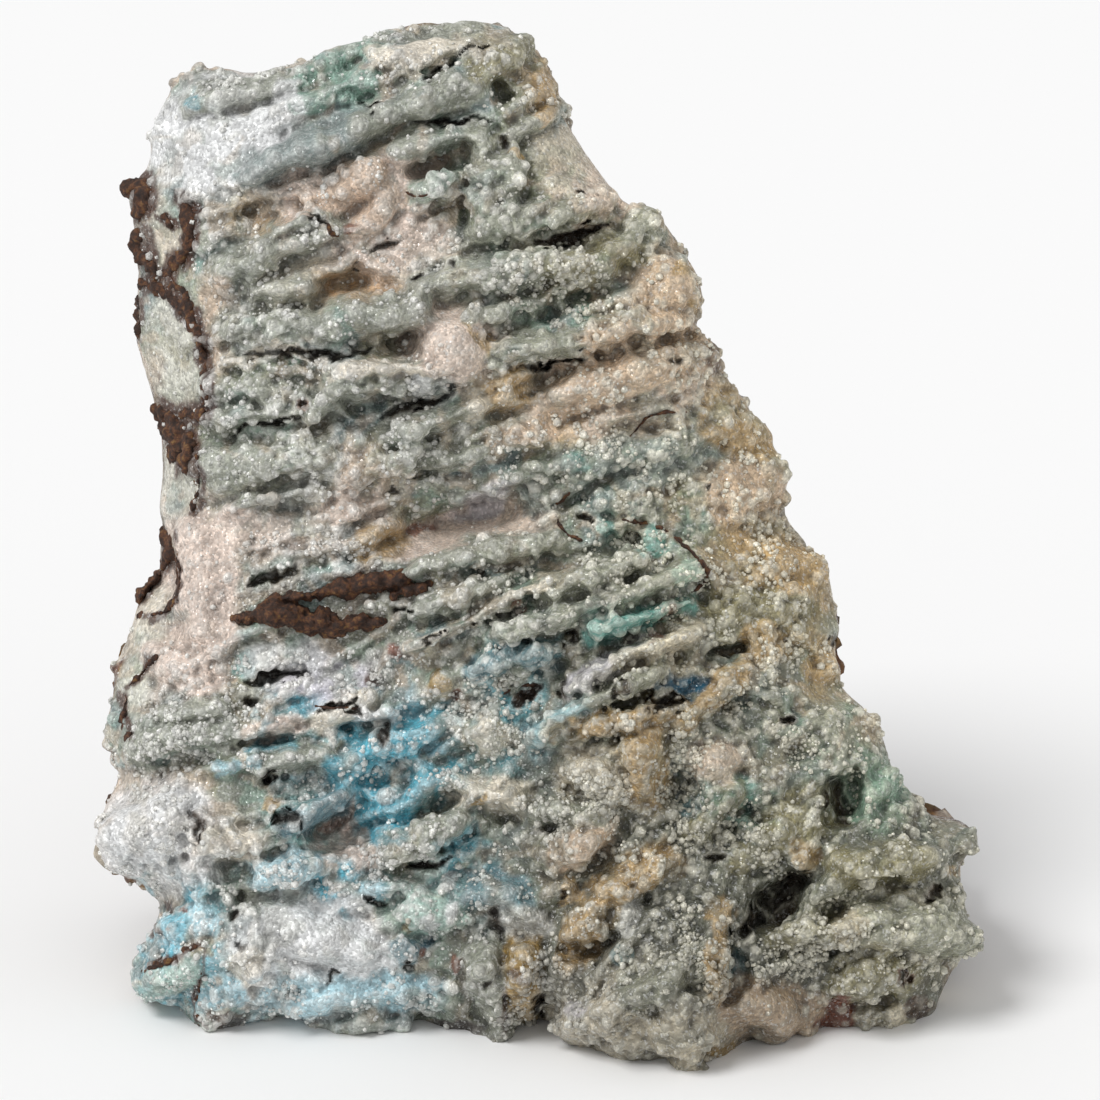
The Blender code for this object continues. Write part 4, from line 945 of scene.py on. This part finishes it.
def bead_weight(middle, normal):
    """Beads are strewn on the crust's front, thickly in some places and thinly in others."""
    x, h, relief = world_to_face(middle).T
    toward = normal @ np.array([0.0, -math.cos(FACE_LEAN), math.sin(FACE_LEAN)])
    clumps = np.clip(2.0 * waves(middle, 0.0045, 4) + 1.6 * waves(middle, 0.0018, 6), 0.05, 2.5)
    weight = clumps * np.clip(toward * 1.5, 0, 1) * (np.abs(normal[:, 2]) < 0.9999)
    weight *= np.clip((relief - CRUST_ENDS - 0.003) / 0.004, 0, 1)
    for row in GAPS:
        weight *= np.clip(ellipse_reach(x, h, row) - 0.7, 0, 1)
    return weight * growth_weight(x, h, 0.85)


def face_to_world(points):
    """Draws relief in towards the face's centre, leans the face and sets it on the ground."""
    x, h, relief = points.T
    drawn = 1 - np.maximum(relief, DEEPEST_DRAWN_IN) / VIEW_DISTANCE
    x = FACE_CENTRE[0] + (x - FACE_CENTRE[0]) * drawn
    h = FACE_CENTRE[1] + (h - FACE_CENTRE[1]) * drawn
    sine, cosine = math.sin(FACE_LEAN), math.cos(FACE_LEAN)
    back = h * sine - relief * cosine - ORIGIN_BACK
    up = h * cosine + relief * sine - GROUND_HEIGHT
    return np.column_stack((x - ORIGIN_ACROSS, back, up))


def world_to_face(points):
    """The opposite of face_to_world."""
    sine, cosine = math.sin(FACE_LEAN), math.cos(FACE_LEAN)
    back, up = points[:, 1] + ORIGIN_BACK, points[:, 2] + GROUND_HEIGHT
    relief = up * sine - back * cosine
    drawn = 1 - np.maximum(relief, DEEPEST_DRAWN_IN) / VIEW_DISTANCE
    x = FACE_CENTRE[0] + (points[:, 0] + ORIGIN_ACROSS - FACE_CENTRE[0]) / drawn
    h = FACE_CENTRE[1] + (back * sine + up * cosine - FACE_CENTRE[1]) / drawn
    return np.column_stack((x, h, relief))


def crest_height(mesh, points, normals, rounds):
    """How far each vertex stands above its smoothed surroundings, in metres."""
    flat = np.empty(len(mesh.edges) * 2, dtype=np.int32)
    mesh.edges.foreach_get("vertices", flat)
    a, b = flat.reshape(-1, 2).T
    count = len(points)
    degree = np.maximum(np.bincount(a, minlength=count) + np.bincount(b, minlength=count), 1)
    smooth = points.copy()
    for _ in range(rounds):
        for axis in range(3):
            values = smooth[:, axis]
            total = np.bincount(a, values[b], count) + np.bincount(b, values[a], count)
            smooth[:, axis] = 0.4 * values + 0.6 * total / degree
    return np.einsum("ij,ij->i", points - smooth, normals)


def stands_out(points):
    """How far each vertex stands out of the face round about it, in metres."""
    column = ((points[:, 0] - FACE_LEFT) / RELIEF_CELL).astype(int)
    row = ((points[:, 1] - FACE_FOOT) / RELIEF_CELL).astype(int)
    shape = (row.max() + 2, column.max() + 2)
    cell = row * shape[1] + column
    size = shape[0] * shape[1]
    total = np.bincount(cell, points[:, 2], size).reshape(shape)
    count = np.bincount(cell, minlength=size).reshape(shape).astype(float)
    for _ in range(RELIEF_ROUNDS):
        for axis in (0, 1):
            total = 0.5 * total + 0.25 * (np.roll(total, 1, axis) + np.roll(total, -1, axis))
            count = 0.5 * count + 0.25 * (np.roll(count, 1, axis) + np.roll(count, -1, axis))
    return points[:, 2] - (total / np.maximum(count, 1e-9)).ravel()[cell]


def capsule_share(x, h, ledge):
    """1 on a ledge, fading to 0 just past its edge, seen from in front."""
    x0, h0, x1, h1, thickness = (value * MM for value in ledge[:5])
    along_x, along_h = x1 - x0, h1 - h0
    t = ((x - x0) * along_x + (h - h0) * along_h) / (along_x**2 + along_h**2)
    t = np.clip(t, 0, 1)
    away = np.hypot(x - x0 - along_x * t, h - h0 - along_h * t)
    return np.clip((0.62 * thickness - away) / (0.22 * thickness), 0, 1)


def paint(colour, share, name):
    target = np.array(linear(PALETTE[name]))
    colour += (target - colour) * share[:, None]


def matrix_colours(points):
    """Broken matrix: brown limonite, rusty and ochre in parts, under a pale skin near the front."""
    colour = np.tile(linear(PALETTE["limonite"]), (len(points), 1))
    paint(colour, np.clip(0.4 + 1.1 * waves(points, 0.0080, 61), 0, 0.75), "rust")
    paint(colour, np.clip(0.2 + 1.1 * waves(points, 0.0034, 63), 0, 0.75), "umber")
    paint(colour, np.clip(0.9 * waves(points, 0.0017, 65), 0, 0.45), "ochre")
    layered = points / np.array([0.016, 0.0095, 0.016])
    pale = waves(layered, 1.0, 67) + 0.5 * waves(layered, 0.37, 69)
    pale += 0.55 * waves(points, 0.0021, 71) + 0.35 * waves(points, 0.0009, 73)
    near = np.clip((points[:, 2] + 0.036) / 0.016, 0, 1)
    paint(colour, np.clip(1.5 * (pale + 0.9 * near) - 0.75, 0, 0.85), "cream")
    paint(colour, np.clip(1.2 * waves(points, 0.0016, 75) - 0.1, 0, 0.5), "dust_and_shade")
    return colour


def ground_colours(spots, out):
    """The crust's colour before the fields: grey green, clouded, paler in its recesses, with painted shade
    in its deepest recesses and in the recesses of the lower right.
    """
    colour = np.tile(linear(PALETTE["sage"]), (len(spots), 1))
    for width, salt, low, top, name in CLOUDS:
        paint(colour, np.clip(1.1 * waves(spots, width, salt) - low, 0, top), name)
    place = spots[:, 0], spots[:, 1]
    # Darker grey ground, partly painted shade towards the lower right and the foot
    for row in DARKER_GROUND_AND_SHADE:
        share = np.clip((1.25 - ellipse_reach(*place, row)) / 0.6, 0, 1)
        paint(colour, share * row[6], row[5])
    # In the lower right the recesses take a dark painted shade in place of the pale recess colour
    shaded = np.clip(1.3 - ellipse_reach(*place, SHADED_CORNER), 0, 1)
    recess = np.clip((-out / MM + 0.05) / 1.1, 0, 0.75)
    paint(colour, recess * (1 - shaded), "recess")
    paint(colour, recess * shaded, "dust_and_shade")
    # Painted shade darkens the deepest recesses
    paint(colour, np.clip((-out / MM - 1.3) / 1.6, 0, 0.7), "dust_and_shade")
    return colour


def painted_shade_and_warmth(colour, place):
    """Darkens the lower right with painted shade, and warms the right half."""
    low = np.clip(1.35 - ellipse_reach(*place, PAINTED_SHADE_FOOT), 0, 1)
    middle = np.clip(1.3 - ellipse_reach(*place, PAINTED_SHADE_MIDDLE), 0, 1)
    shaded_colour = colour * ((1 - 0.42 * low) * (1 - 0.17 * middle))[:, None]
    warmth = np.clip((place[0] + 0.020) / 0.040, 0, 1)[:, None]
    return shaded_colour * (1 - warmth * np.array(WARMTH))


def crust_colours(place, out):
    """The crust's colour at each vertex, from the fields, ledges, lumps, veins and stains, with painted
    shade in its gaps and deepest recesses.
    """
    x, h = place
    spots = np.column_stack((x, h, np.zeros(len(x))))
    colour = ground_colours(spots, out)
    patchy = np.clip(0.95 + 0.7 * waves(spots, 0.0032, 17) + 0.4 * waves(spots, 0.0013, 19), 0.35, 1)
    speckled = np.clip(0.65 + 1.5 * waves(spots, 0.0024, 21) + 0.6 * waves(spots, 0.0011, 23), 0.05, 1.3)
    for row in FIELDS:
        share = np.clip((1.25 - ellipse_reach(x, h, row)) / 0.5, 0, 1)
        clusters = speckled if row[5] in STREWN else patchy
        paint(colour, np.clip(share * row[6] * clusters, 0, 1), row[5])
    for ledge in LEDGES:
        paint(colour, capsule_share(x, h, ledge) * 0.95 * patchy, ledge[6])
    for x0, h0, radius, _, name in LUMPS:
        share = np.clip((1.1 - ellipse_reach(x, h, (x0, h0, radius, radius, 0))) / 0.25, 0, 1)
        paint(colour, share * 0.8, name)
    for places, thickness in VEINS:
        for (x0, h0), (x1, h1) in zip(places, places[1:]):
            paint(colour, capsule_share(x, h, (x0, h0, x1, h1, 1.7 * thickness)) * 0.9, "limonite")
    for row in STAINS:
        share = np.clip((1.15 - ellipse_reach(x, h, row)) / 0.3, 0, 1)
        paint(colour, share * row[6], row[5])
    # Painted shade darkens each narrow gap
    for row in GAPS:
        share = np.clip((1.1 - ellipse_reach(x, h, row)) / 0.6, 0, 1)
        paint(colour, share * 0.85, "gap_shade")
    # Painted shade darkens the deepest recesses
    paint(colour, np.clip((-out / MM - 2.2) / 2.0, 0, 0.5), "dust_and_shade")
    return colour


def store(mesh, name, values):
    """Keeps a number or a colour on each vertex."""
    if values.ndim == 1:
        layer = mesh.attributes.new(name, "FLOAT", "POINT")
        layer.data.foreach_set("value", values.astype(np.float32))
        return
    layer = mesh.attributes.new(name, "FLOAT_COLOR", "POINT")
    rgba = np.column_stack((values, np.ones(len(values)))).astype(np.float32)
    layer.data.foreach_set("color", rgba.ravel())


def nodule_paint(points, centres, radii, whiteness):
    """How white each vertex is, from the nodule it lies on."""
    tree = kdtree.KDTree(len(centres))
    for index, centre in enumerate(centres):
        tree.insert(centre, index)
    tree.balance()
    share = np.zeros(len(points))
    for index, point in enumerate(points):
        _, nearest, away = tree.find(point)
        radius = radii[nearest]
        if away < radius * 1.35:
            share[index] = whiteness[nearest] * min(1.0, (1.35 - away / radius) / 0.3)
    return share


def grow_crust(settings):
    """The fine crust over the front of the block, with its colours and painted shade on its vertices."""
    chance = np.random.default_rng(SEED + 1)
    front = cut_mesh(base_mesh(), (0, 0, CRUST_ENDS), (0, 0, 1))
    corners = coordinates(front)[triangles_of(front)]
    places, normals = scatter(corners, settings.nodules, nodule_weight, chance)
    sizes = settings.nodule_radius * np.clip(chance.lognormal(0.0, 0.36, len(places)), 0.55, 2.0)
    centres = places + normals * (sizes * 0.15)[:, None]
    frosted = chance.random(len(places)) < 0.5
    whiteness = np.where(frosted, chance.uniform(0.25, 0.75, len(places)), 0.05)
    balls = [(centre, (size, size, size), 0.0) for centre, size in zip(centres, sizes)]
    fine = voxel_remesh(join([front, ball_mesh(balls)]), settings.voxel)
    points, normals = coordinates(fine), vertex_normals(fine)
    facing = np.clip(normals[:, 2] * 3, 0, 1)
    place = drifted(points)
    white = nodule_paint(points, centres, sizes, whiteness)
    out = stands_out(points)
    grains = domes(points, settings.grain, 41) - 0.5 + 0.5 * (domes(points, 0.7 * settings.grain, 45) - 0.5)
    uneven = np.clip(0.55 + 0.8 * waves(points, 0.006, 43), 0.1, 1.2)
    points += normals * (settings.grain_height * grains * uneven)[:, None]
    ragged = waves(points, 0.0019, 83)
    wandering = place[0] + 0.0005 * ragged, place[1] - 0.0004 * ragged
    press(points, wandering, facing, GAPS, 0.6, 0.85)
    set_coordinates(fine, points)
    crest = crest_height(fine, points, vertex_normals(fine), CREST_ROUNDS) / MM
    colour = crust_colours(place, out)
    back = np.clip((-points[:, 2] / MM - 14.0 + 5 * waves(points, 0.009, 81)) / 2.0, 0, 1)[:, None]
    colour += (matrix_colours(points) - colour) * back
    pale = np.array(settings.white)
    frost = np.maximum(white, np.clip((crest - 0.03) * 1.6, 0, 0.3))[:, None]
    colour += (pale - colour) * frost * (1 - back)
    # Painted shade darkens the small hollows, where the surface lies below its smoothed surroundings
    colour *= np.clip(1 + (crest + 0.02) * 2.4, 0.45, 1)[:, None]
    # Painted shade darkens the lower right, and the right half is warmed
    colour = painted_shade_and_warmth(colour, place)
    store(fine, "tint", colour)
    set_coordinates(fine, face_to_world(points))
    return fine


def add_node(tree, kind, links=(), **settings):
    """Adds a shader node, sets its values and links its inputs."""
    node = tree.nodes.new(kind)
    for name, value in settings.items():
        setattr(node, name, value)
    for key, value in dict(links).items():
        if isinstance(value, bpy.types.NodeSocket):
            tree.links.new(value, node.inputs[key])
        else:
            node.inputs[key].default_value = value
    return node


def empty_material(name):
    material = bpy.data.materials.new(name)
    material.use_nodes = True
    tree = material.node_tree
    tree.nodes.clear()
    output = add_node(tree, "ShaderNodeOutputMaterial")
    shader = add_node(tree, "ShaderNodeBsdfPrincipled")
    tree.links.new(shader.outputs[0], output.inputs["Surface"])
    return material, tree, shader


def ramp(tree, source, stops):
    node = add_node(tree, "ShaderNodeValToRGB", {"Fac": source})
    elements = node.color_ramp.elements
    while len(elements) < len(stops):
        elements.new(0.5)
    for element, (position, colour) in zip(elements, stops):
        element.position = position
        element.color = (*colour, 1.0)
    return node.outputs["Color"]


def mix(tree, share, first, second, blend="MIX"):
    node = add_node(tree, "ShaderNodeMix", data_type="RGBA", blend_type=blend)
    for socket, value in zip((node.inputs[0], node.inputs[6], node.inputs[7]), (share, first, second)):
        if isinstance(value, bpy.types.NodeSocket):
            tree.links.new(value, socket)
        else:
            socket.default_value = value
    return node.outputs[2]


def grey(value):
    return (value, value, value)


def crust_material():
    """Smithsonite druse over aragonite: matt sugary grains, with glassy crystal faces that glint."""
    material, tree, shader = empty_material("smithsonite_druse_on_aragonite")
    place = add_node(tree, "ShaderNodeTexCoord").outputs["Object"]
    tint = add_node(tree, "ShaderNodeAttribute", attribute_name="tint").outputs["Color"]

    # Cloudy change of tone, 4 mm across
    clouds = add_node(tree, "ShaderNodeTexNoise", {"Vector": place, "Scale": 1 / 0.004, "Detail": 4.0})
    mottle = ramp(tree, clouds.outputs["Fac"], [(0.3, grey(0.76)), (0.7, grey(1.16))])
    colour = mix(tree, 1.0, tint, mottle, "MULTIPLY")

    # Sugary grains 0.5 mm across, each with its own tone, its own gloss and its own tilt
    grains = add_node(tree, "ShaderNodeTexVoronoi", {"Vector": place, "Scale": 1 / 0.0005})
    cell = grains.outputs["Color"]
    tone = ramp(tree, cell, [(0.15, grey(0.72)), (0.55, grey(1.0)), (0.8, grey(1.4))])
    colour = mix(tree, 1.0, colour, tone, "MULTIPLY")

    # Frosty specks in loose swarms
    specks = add_node(
        tree, "ShaderNodeTexNoise",
        {"Vector": place, "Scale": 1 / 0.0007, "Detail": 3.0, "Roughness": 0.7},
    )
    speck_share = ramp(tree, specks.outputs["Fac"], [(0.56, grey(0.0)), (0.66, grey(0.5))])
    colour = mix(tree, speck_share, colour, (*linear("#dedfdd"), 1.0))
    tree.links.new(colour, shader.inputs["Base Color"])
    gloss = ramp(tree, cell, [(0.6, grey(0.6)), (0.75, grey(0.14))])
    tree.links.new(gloss, shader.inputs["Roughness"])
    bump = add_node(
        tree, "ShaderNodeBump", {"Height": grains.outputs["Distance"], "Strength": 0.7, "Distance": 0.0003},
        invert=True,
    )
    lean = add_node(tree, "ShaderNodeVectorMath", {0: cell, 1: (0.5, 0.5, 0.5)}, operation="SUBTRACT")
    lean = add_node(
        tree, "ShaderNodeVectorMath", {0: lean.outputs[0], 1: (0.5, 0.5, 0.5), 2: bump.outputs[0]},
        operation="MULTIPLY_ADD",
    )
    facet = add_node(tree, "ShaderNodeVectorMath", {0: lean.outputs[0]}, operation="NORMALIZE")
    tree.links.new(facet.outputs[0], shader.inputs["Normal"])
    shader.inputs["IOR"].default_value = 1.65
    return material


def limonite_material(settings):
    """Limonite: earthy iron oxide, broken rough, dull dark brown with rusty bloom."""
    material, tree, shader = empty_material("broken_limonite")
    place = add_node(tree, "ShaderNodeTexCoord").outputs["Object"]
    blotch = add_node(
        tree, "ShaderNodeTexNoise",
        {"Vector": place, "Scale": 1 / 0.0012, "Detail": 6.0, "Roughness": 0.7},
    )
    stops = [(0.38, settings.dark), (0.49, settings.brown), (0.57, settings.rust), (0.66, settings.ochre)]
    colour = ramp(tree, blotch.outputs["Fac"], [(at, tuple(tone)) for at, tone in stops])
    tree.links.new(colour, shader.inputs["Base Color"])
    grit = add_node(
        tree, "ShaderNodeTexNoise",
        {"Vector": place, "Scale": 1 / 0.0005, "Detail": 5.0, "Roughness": 0.7},
    )
    bump = add_node(
        tree, "ShaderNodeBump", {"Height": grit.outputs["Fac"], "Strength": 0.8, "Distance": 0.0003},
    )
    tree.links.new(bump.outputs[0], shader.inputs["Normal"])
    shader.inputs["Roughness"].default_value = 0.78
    return material


def matrix_material():
    """Broken back: limonite matrix with pale carbonate, dull and earthy all over."""
    material, tree, shader = empty_material("limonite_matrix_with_carbonate")
    place = add_node(tree, "ShaderNodeTexCoord").outputs["Object"]
    tint = add_node(tree, "ShaderNodeAttribute", attribute_name="tint").outputs["Color"]
    grit = add_node(
        tree, "ShaderNodeTexNoise",
        {"Vector": place, "Scale": 1 / 0.0012, "Detail": 6.0, "Roughness": 0.7},
    )
    tone = ramp(tree, grit.outputs["Fac"], [(0.35, grey(0.5)), (0.65, grey(1.3))])
    colour = mix(tree, 1.0, tint, tone, "MULTIPLY")
    tree.links.new(colour, shader.inputs["Base Color"])
    bump = add_node(
        tree, "ShaderNodeBump", {"Height": grit.outputs["Fac"], "Strength": 0.9, "Distance": 0.0008},
    )
    tree.links.new(bump.outputs[0], shader.inputs["Normal"])
    shader.inputs["Roughness"].default_value = 0.85
    return material


def finish_piece(name, mesh, material):
    """Puts a finished mesh in the scene, riding on the specimen and standing for its solid."""
    mesh.name = name
    mesh.materials.clear()
    mesh.materials.append(material)
    piece = bpy.data.objects.new(name, mesh)
    bpy.context.scene.collection.objects.link(piece)
    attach(piece, BODY)
    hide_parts(NODE)
    return piece


def shade_smooth(mesh):
    mesh.polygons.foreach_set("use_smooth", np.ones(len(mesh.polygons), dtype=bool))


class SPECIMEN_OT_crust(bpy.types.Operator):
    """Grow the druse of smithsonite over the front of the specimen"""
    bl_idname = "specimen.crust"
    bl_label = "Grow Crust"

    def execute(self, context):
        settings = context.scene.specimen_crust
        material = crust_material()
        fine = grow_crust(settings)
        shade_smooth(fine)
        sine, cosine = math.sin(FACE_LEAN), math.cos(FACE_LEAN)
        behind = Vector(face_to_world(np.array([[0.0, 0.0, CRUST_ENDS + 0.0006]]))[0])
        fine = cut_mesh(fine, behind, (0, -cosine, sine))
        ends = [start for _, start in CRUST_PIECES[1:]] + [1.0]
        for (name, start), end in zip(CRUST_PIECES, ends):
            piece = cut_mesh(fine, (0, 0, max(start, 0.0)), (0, 0, 1))
            if end < 1.0:
                piece = cut_mesh(piece, (0, 0, end), (0, 0, -1))
            finish_piece(name, piece, material)
        return {"FINISHED"}


class SPECIMEN_OT_beads(bpy.types.Operator):
    """Strew tiny white beads over the crust"""
    bl_idname = "specimen.beads"
    bl_label = "Strew Beads"

    def execute(self, context):
        settings = context.scene.specimen_crust
        chance = np.random.default_rng(SEED + 4)
        crust = [bpy.data.objects[name].data for name, _ in CRUST_PIECES]
        corners = np.concatenate([coordinates(mesh)[triangles_of(mesh)] for mesh in crust])
        places, normals = scatter(corners, settings.beads, bead_weight, chance)
        count = len(places)
        sizes = settings.bead_radius * np.clip(chance.lognormal(0.0, 0.42, count), 0.5, 2.4)
        centres = places + normals * (0.1 * sizes)[:, None]
        half_sizes = sizes[:, None] * chance.uniform(0.72, 1.18, (count, 3))
        balls = list(zip(centres, half_sizes, chance.uniform(0, math.pi, count)))
        beads = ball_mesh(balls, level=1)
        x, h, _ = world_to_face(centres).T
        colour = crust_colours((x, h), np.zeros(count))
        white_share = chance.uniform(0.45, 1.0, count)[:, None]
        colour += (np.array(settings.white) - colour) * white_share
        # Painted shade darkens the beads in the lower right, and the right half is warmed
        colour = painted_shade_and_warmth(colour, (x, h))
        store(beads, "tint", np.repeat(colour, len(beads.vertices) // count, axis=0))
        shade_smooth(beads)
        finish_piece("white_beads", beads, bpy.data.materials["smithsonite_druse_on_aragonite"])
        return {"FINISHED"}


class SPECIMEN_OT_matrix(bpy.types.Operator):
    """Break the back and the sides of the specimen, where the limonite matrix shows"""
    bl_idname = "specimen.matrix"
    bl_label = "Break Matrix"

    def execute(self, context):
        settings = context.scene.specimen_matrix
        back = cut_mesh(base_mesh(), (0, 0, MATRIX_STARTS), (0, 0, -1))
        back = voxel_remesh(back, MATRIX_VOXEL)
        points, normals = coordinates(back), vertex_normals(back)
        share = np.clip((MATRIX_STARTS + 0.001 - points[:, 2]) / 0.008, 0.1, 1)
        colour = matrix_colours(points)
        rough = waves(points, 0.017) + 0.8 * np.abs(waves(points, 0.0085, 5))
        rough += 0.4 * waves(points, 0.0031, 9) + 0.2 * waves(points, 0.0014, 13)
        layers = (points[:, 1] + 0.004 * waves(points, 0.022, 15)) / LAYER_HEIGHT
        steps = layers - np.floor(layers)
        rough += 0.45 * (1 - steps) * np.clip(0.6 + waves(points, 0.012, 16), 0, 1)
        rough -= np.percentile(rough, MOVED_INWARD)
        points += normals * (settings.roughness * rough * share)[:, None]
        store(back, "tint", colour)
        set_coordinates(back, face_to_world(points))
        shade_smooth(back)
        back = cut_mesh(back, (0, 0, 0), (0, 0, 1))
        finish_piece("broken_matrix", back, matrix_material())
        return {"FINISHED"}


def rough_piece(name, balls, voxel, size, height, material):
    """Fuses rows of ellipsoids into one rough piece."""
    mesh = voxel_remesh(ball_mesh(balls), voxel)
    points, normals = coordinates(mesh), vertex_normals(mesh)
    rough = waves(points, size, 3) + 0.5 * waves(points, size * 0.4, 5)
    points += normals * (height * rough)[:, None]
    set_coordinates(mesh, face_to_world(points))
    shade_smooth(mesh)
    mesh = cut_mesh(mesh, (0, 0, 0), (0, 0, 1))
    return finish_piece(name, mesh, material)


def shared_limonite(settings):
    found = bpy.data.materials.get("broken_limonite")
    return found or limonite_material(settings)


def strand_balls(relief_at, places, thickness, stand, chance):
    """A thin rib of uneven ellipsoids through a few places on the face."""
    balls = []
    for (x0, h0), (x1, h1) in zip(places, places[1:]):
        balls += ledge_balls(relief_at, (x0, h0, x1, h1, thickness, stand), chance)
    return balls


class SPECIMEN_OT_plates(bpy.types.Operator):
    """Set the jutting limonite plates and the thin brown rims into the crust"""
    bl_idname = "specimen.plates"
    bl_label = "Limonite Plates"

    def execute(self, context):
        settings = context.scene.specimen_matrix
        relief_at = face_finder(base_mesh())
        chance = np.random.default_rng(SEED + 2)
        material = shared_limonite(settings)
        plates = []
        for plate in PLATES:
            plates += ledge_balls(relief_at, plate, chance)
        rough_piece("limonite_plates", plates, 0.00036, 0.0011, 0.0005, material)
        rims = []
        for places, thickness in RIMS:
            rims += strand_balls(relief_at, places, thickness, 0.8, chance)
        rough_piece("limonite_rims", rims, 0.0003, 0.001, 0.00015, material)
        return {"FINISHED"}


class SPECIMEN_OT_veins(bpy.types.Operator):
    """Run the limonite veins over the broken left edge"""
    bl_idname = "specimen.veins"
    bl_label = "Limonite Veins"

    def execute(self, context):
        settings = context.scene.specimen_matrix
        relief_at = face_finder(base_mesh())
        chance = np.random.default_rng(SEED + 3)
        veins = []
        for places, thickness in VEINS:
            veins += strand_balls(relief_at, places, 1.35 * thickness, 0.7, chance)
        rough_piece("limonite_veins", veins, 0.0004, 0.0012, 0.0005, shared_limonite(settings))
        return {"FINISHED"}


class SPECIMEN_OT_stage(bpy.types.Operator):
    """Lay the floor, hang the lights and set up the camera"""
    bl_idname = "specimen.stage"
    bl_label = "Stage"

    def execute(self, context):
        settings = context.scene.specimen_stage
        scene = context.scene
        ground = bpy.data.meshes.new("floor")
        sheet = bmesh.new()
        bmesh.ops.create_grid(sheet, x_segments=1, y_segments=1, size=FLOOR_SIZE)
        sheet.to_mesh(ground)
        sheet.free()
        floor = bpy.data.objects.new("floor", ground)
        scene.collection.objects.link(floor)
        material, _, shader = empty_material("matt_white_board")
        shader.inputs["Base Color"].default_value = (*settings.floor, 1.0)
        shader.inputs["Roughness"].default_value = 0.9
        ground.materials.append(material)

        world = scene.world or bpy.data.worlds.new("surround")
        scene.world = world
        world.use_nodes = True
        surround = world.node_tree.nodes["Background"]
        surround.inputs["Color"].default_value = (1.0, 1.0, 1.0, 1.0)
        surround.inputs["Strength"].default_value = settings.sky
        lamp = bpy.data.lights.new("soft_key", "SUN")
        lamp.energy = settings.key
        lamp.angle = KEY_ANGLE
        key = bpy.data.objects.new("soft_key", lamp)
        key.rotation_euler = Vector(KEY_DIRECTION).to_track_quat("-Z", "Y").to_euler()
        scene.collection.objects.link(key)

        eye = bpy.data.cameras.new("camera")
        camera = bpy.data.objects.new("camera", eye)
        scene.collection.objects.link(camera)
        middle = face_to_world(np.array([[FACE_CENTRE[0], FACE_CENTRE[1], 0.0]]))[0]
        sine, cosine = math.sin(FACE_LEAN), math.cos(FACE_LEAN)
        outward = Vector((0.0, -cosine, sine))
        camera.location = Vector(middle) + outward * VIEW_DISTANCE
        camera.rotation_euler = (-outward).to_track_quat("-Z", "Y").to_euler()
        eye.sensor_width = SENSOR_WIDTH
        eye.lens = eye.sensor_width * VIEW_DISTANCE / VIEW_WIDTH
        eye.clip_start = 0.01
        scene.camera = camera
        scene.view_settings.view_transform = "Standard"
        return {"FINISHED"}


class SPECIMEN_PT_panel(bpy.types.Panel):
    """Sidebar panel with the specimen's settings and operators"""
    bl_idname = "SPECIMEN_PT_panel"
    bl_label = "Specimen"
    bl_space_type = "VIEW_3D"
    bl_region_type = "UI"
    bl_category = "Specimen"

    def draw(self, context):
        groups = (
            (context.scene.specimen_crust, (SPECIMEN_OT_crust, SPECIMEN_OT_beads)),
            (context.scene.specimen_matrix, (SPECIMEN_OT_matrix, SPECIMEN_OT_plates, SPECIMEN_OT_veins)),
            (context.scene.specimen_stage, (SPECIMEN_OT_stage,)),
        )
        for settings, operators in groups:
            box = self.layout.box()
            for name in settings.__annotations__:
                box.prop(settings, name)
            for operator in operators:
                box.operator(operator.bl_idname)


CLASSES = (
    CrustSettings, MatrixSettings, StageSettings, SPECIMEN_OT_crust, SPECIMEN_OT_beads,
    SPECIMEN_OT_matrix, SPECIMEN_OT_plates, SPECIMEN_OT_veins, SPECIMEN_OT_stage, SPECIMEN_PT_panel,
)


def register():
    for item in CLASSES:
        bpy.utils.register_class(item)
    bpy.types.Scene.specimen_crust = bpy.props.PointerProperty(type=CrustSettings)
    bpy.types.Scene.specimen_matrix = bpy.props.PointerProperty(type=MatrixSettings)
    bpy.types.Scene.specimen_stage = bpy.props.PointerProperty(type=StageSettings)


def unregister():
    del bpy.types.Scene.specimen_stage
    del bpy.types.Scene.specimen_matrix
    del bpy.types.Scene.specimen_crust
    for item in reversed(CLASSES):
        bpy.utils.unregister_class(item)


def main():
    register()
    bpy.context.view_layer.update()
    bpy.ops.specimen.crust()
    bpy.ops.specimen.beads()
    bpy.ops.specimen.matrix()
    bpy.ops.specimen.plates()
    bpy.ops.specimen.veins()
    bpy.ops.specimen.stage()


if __name__ == "__main__":
    main()
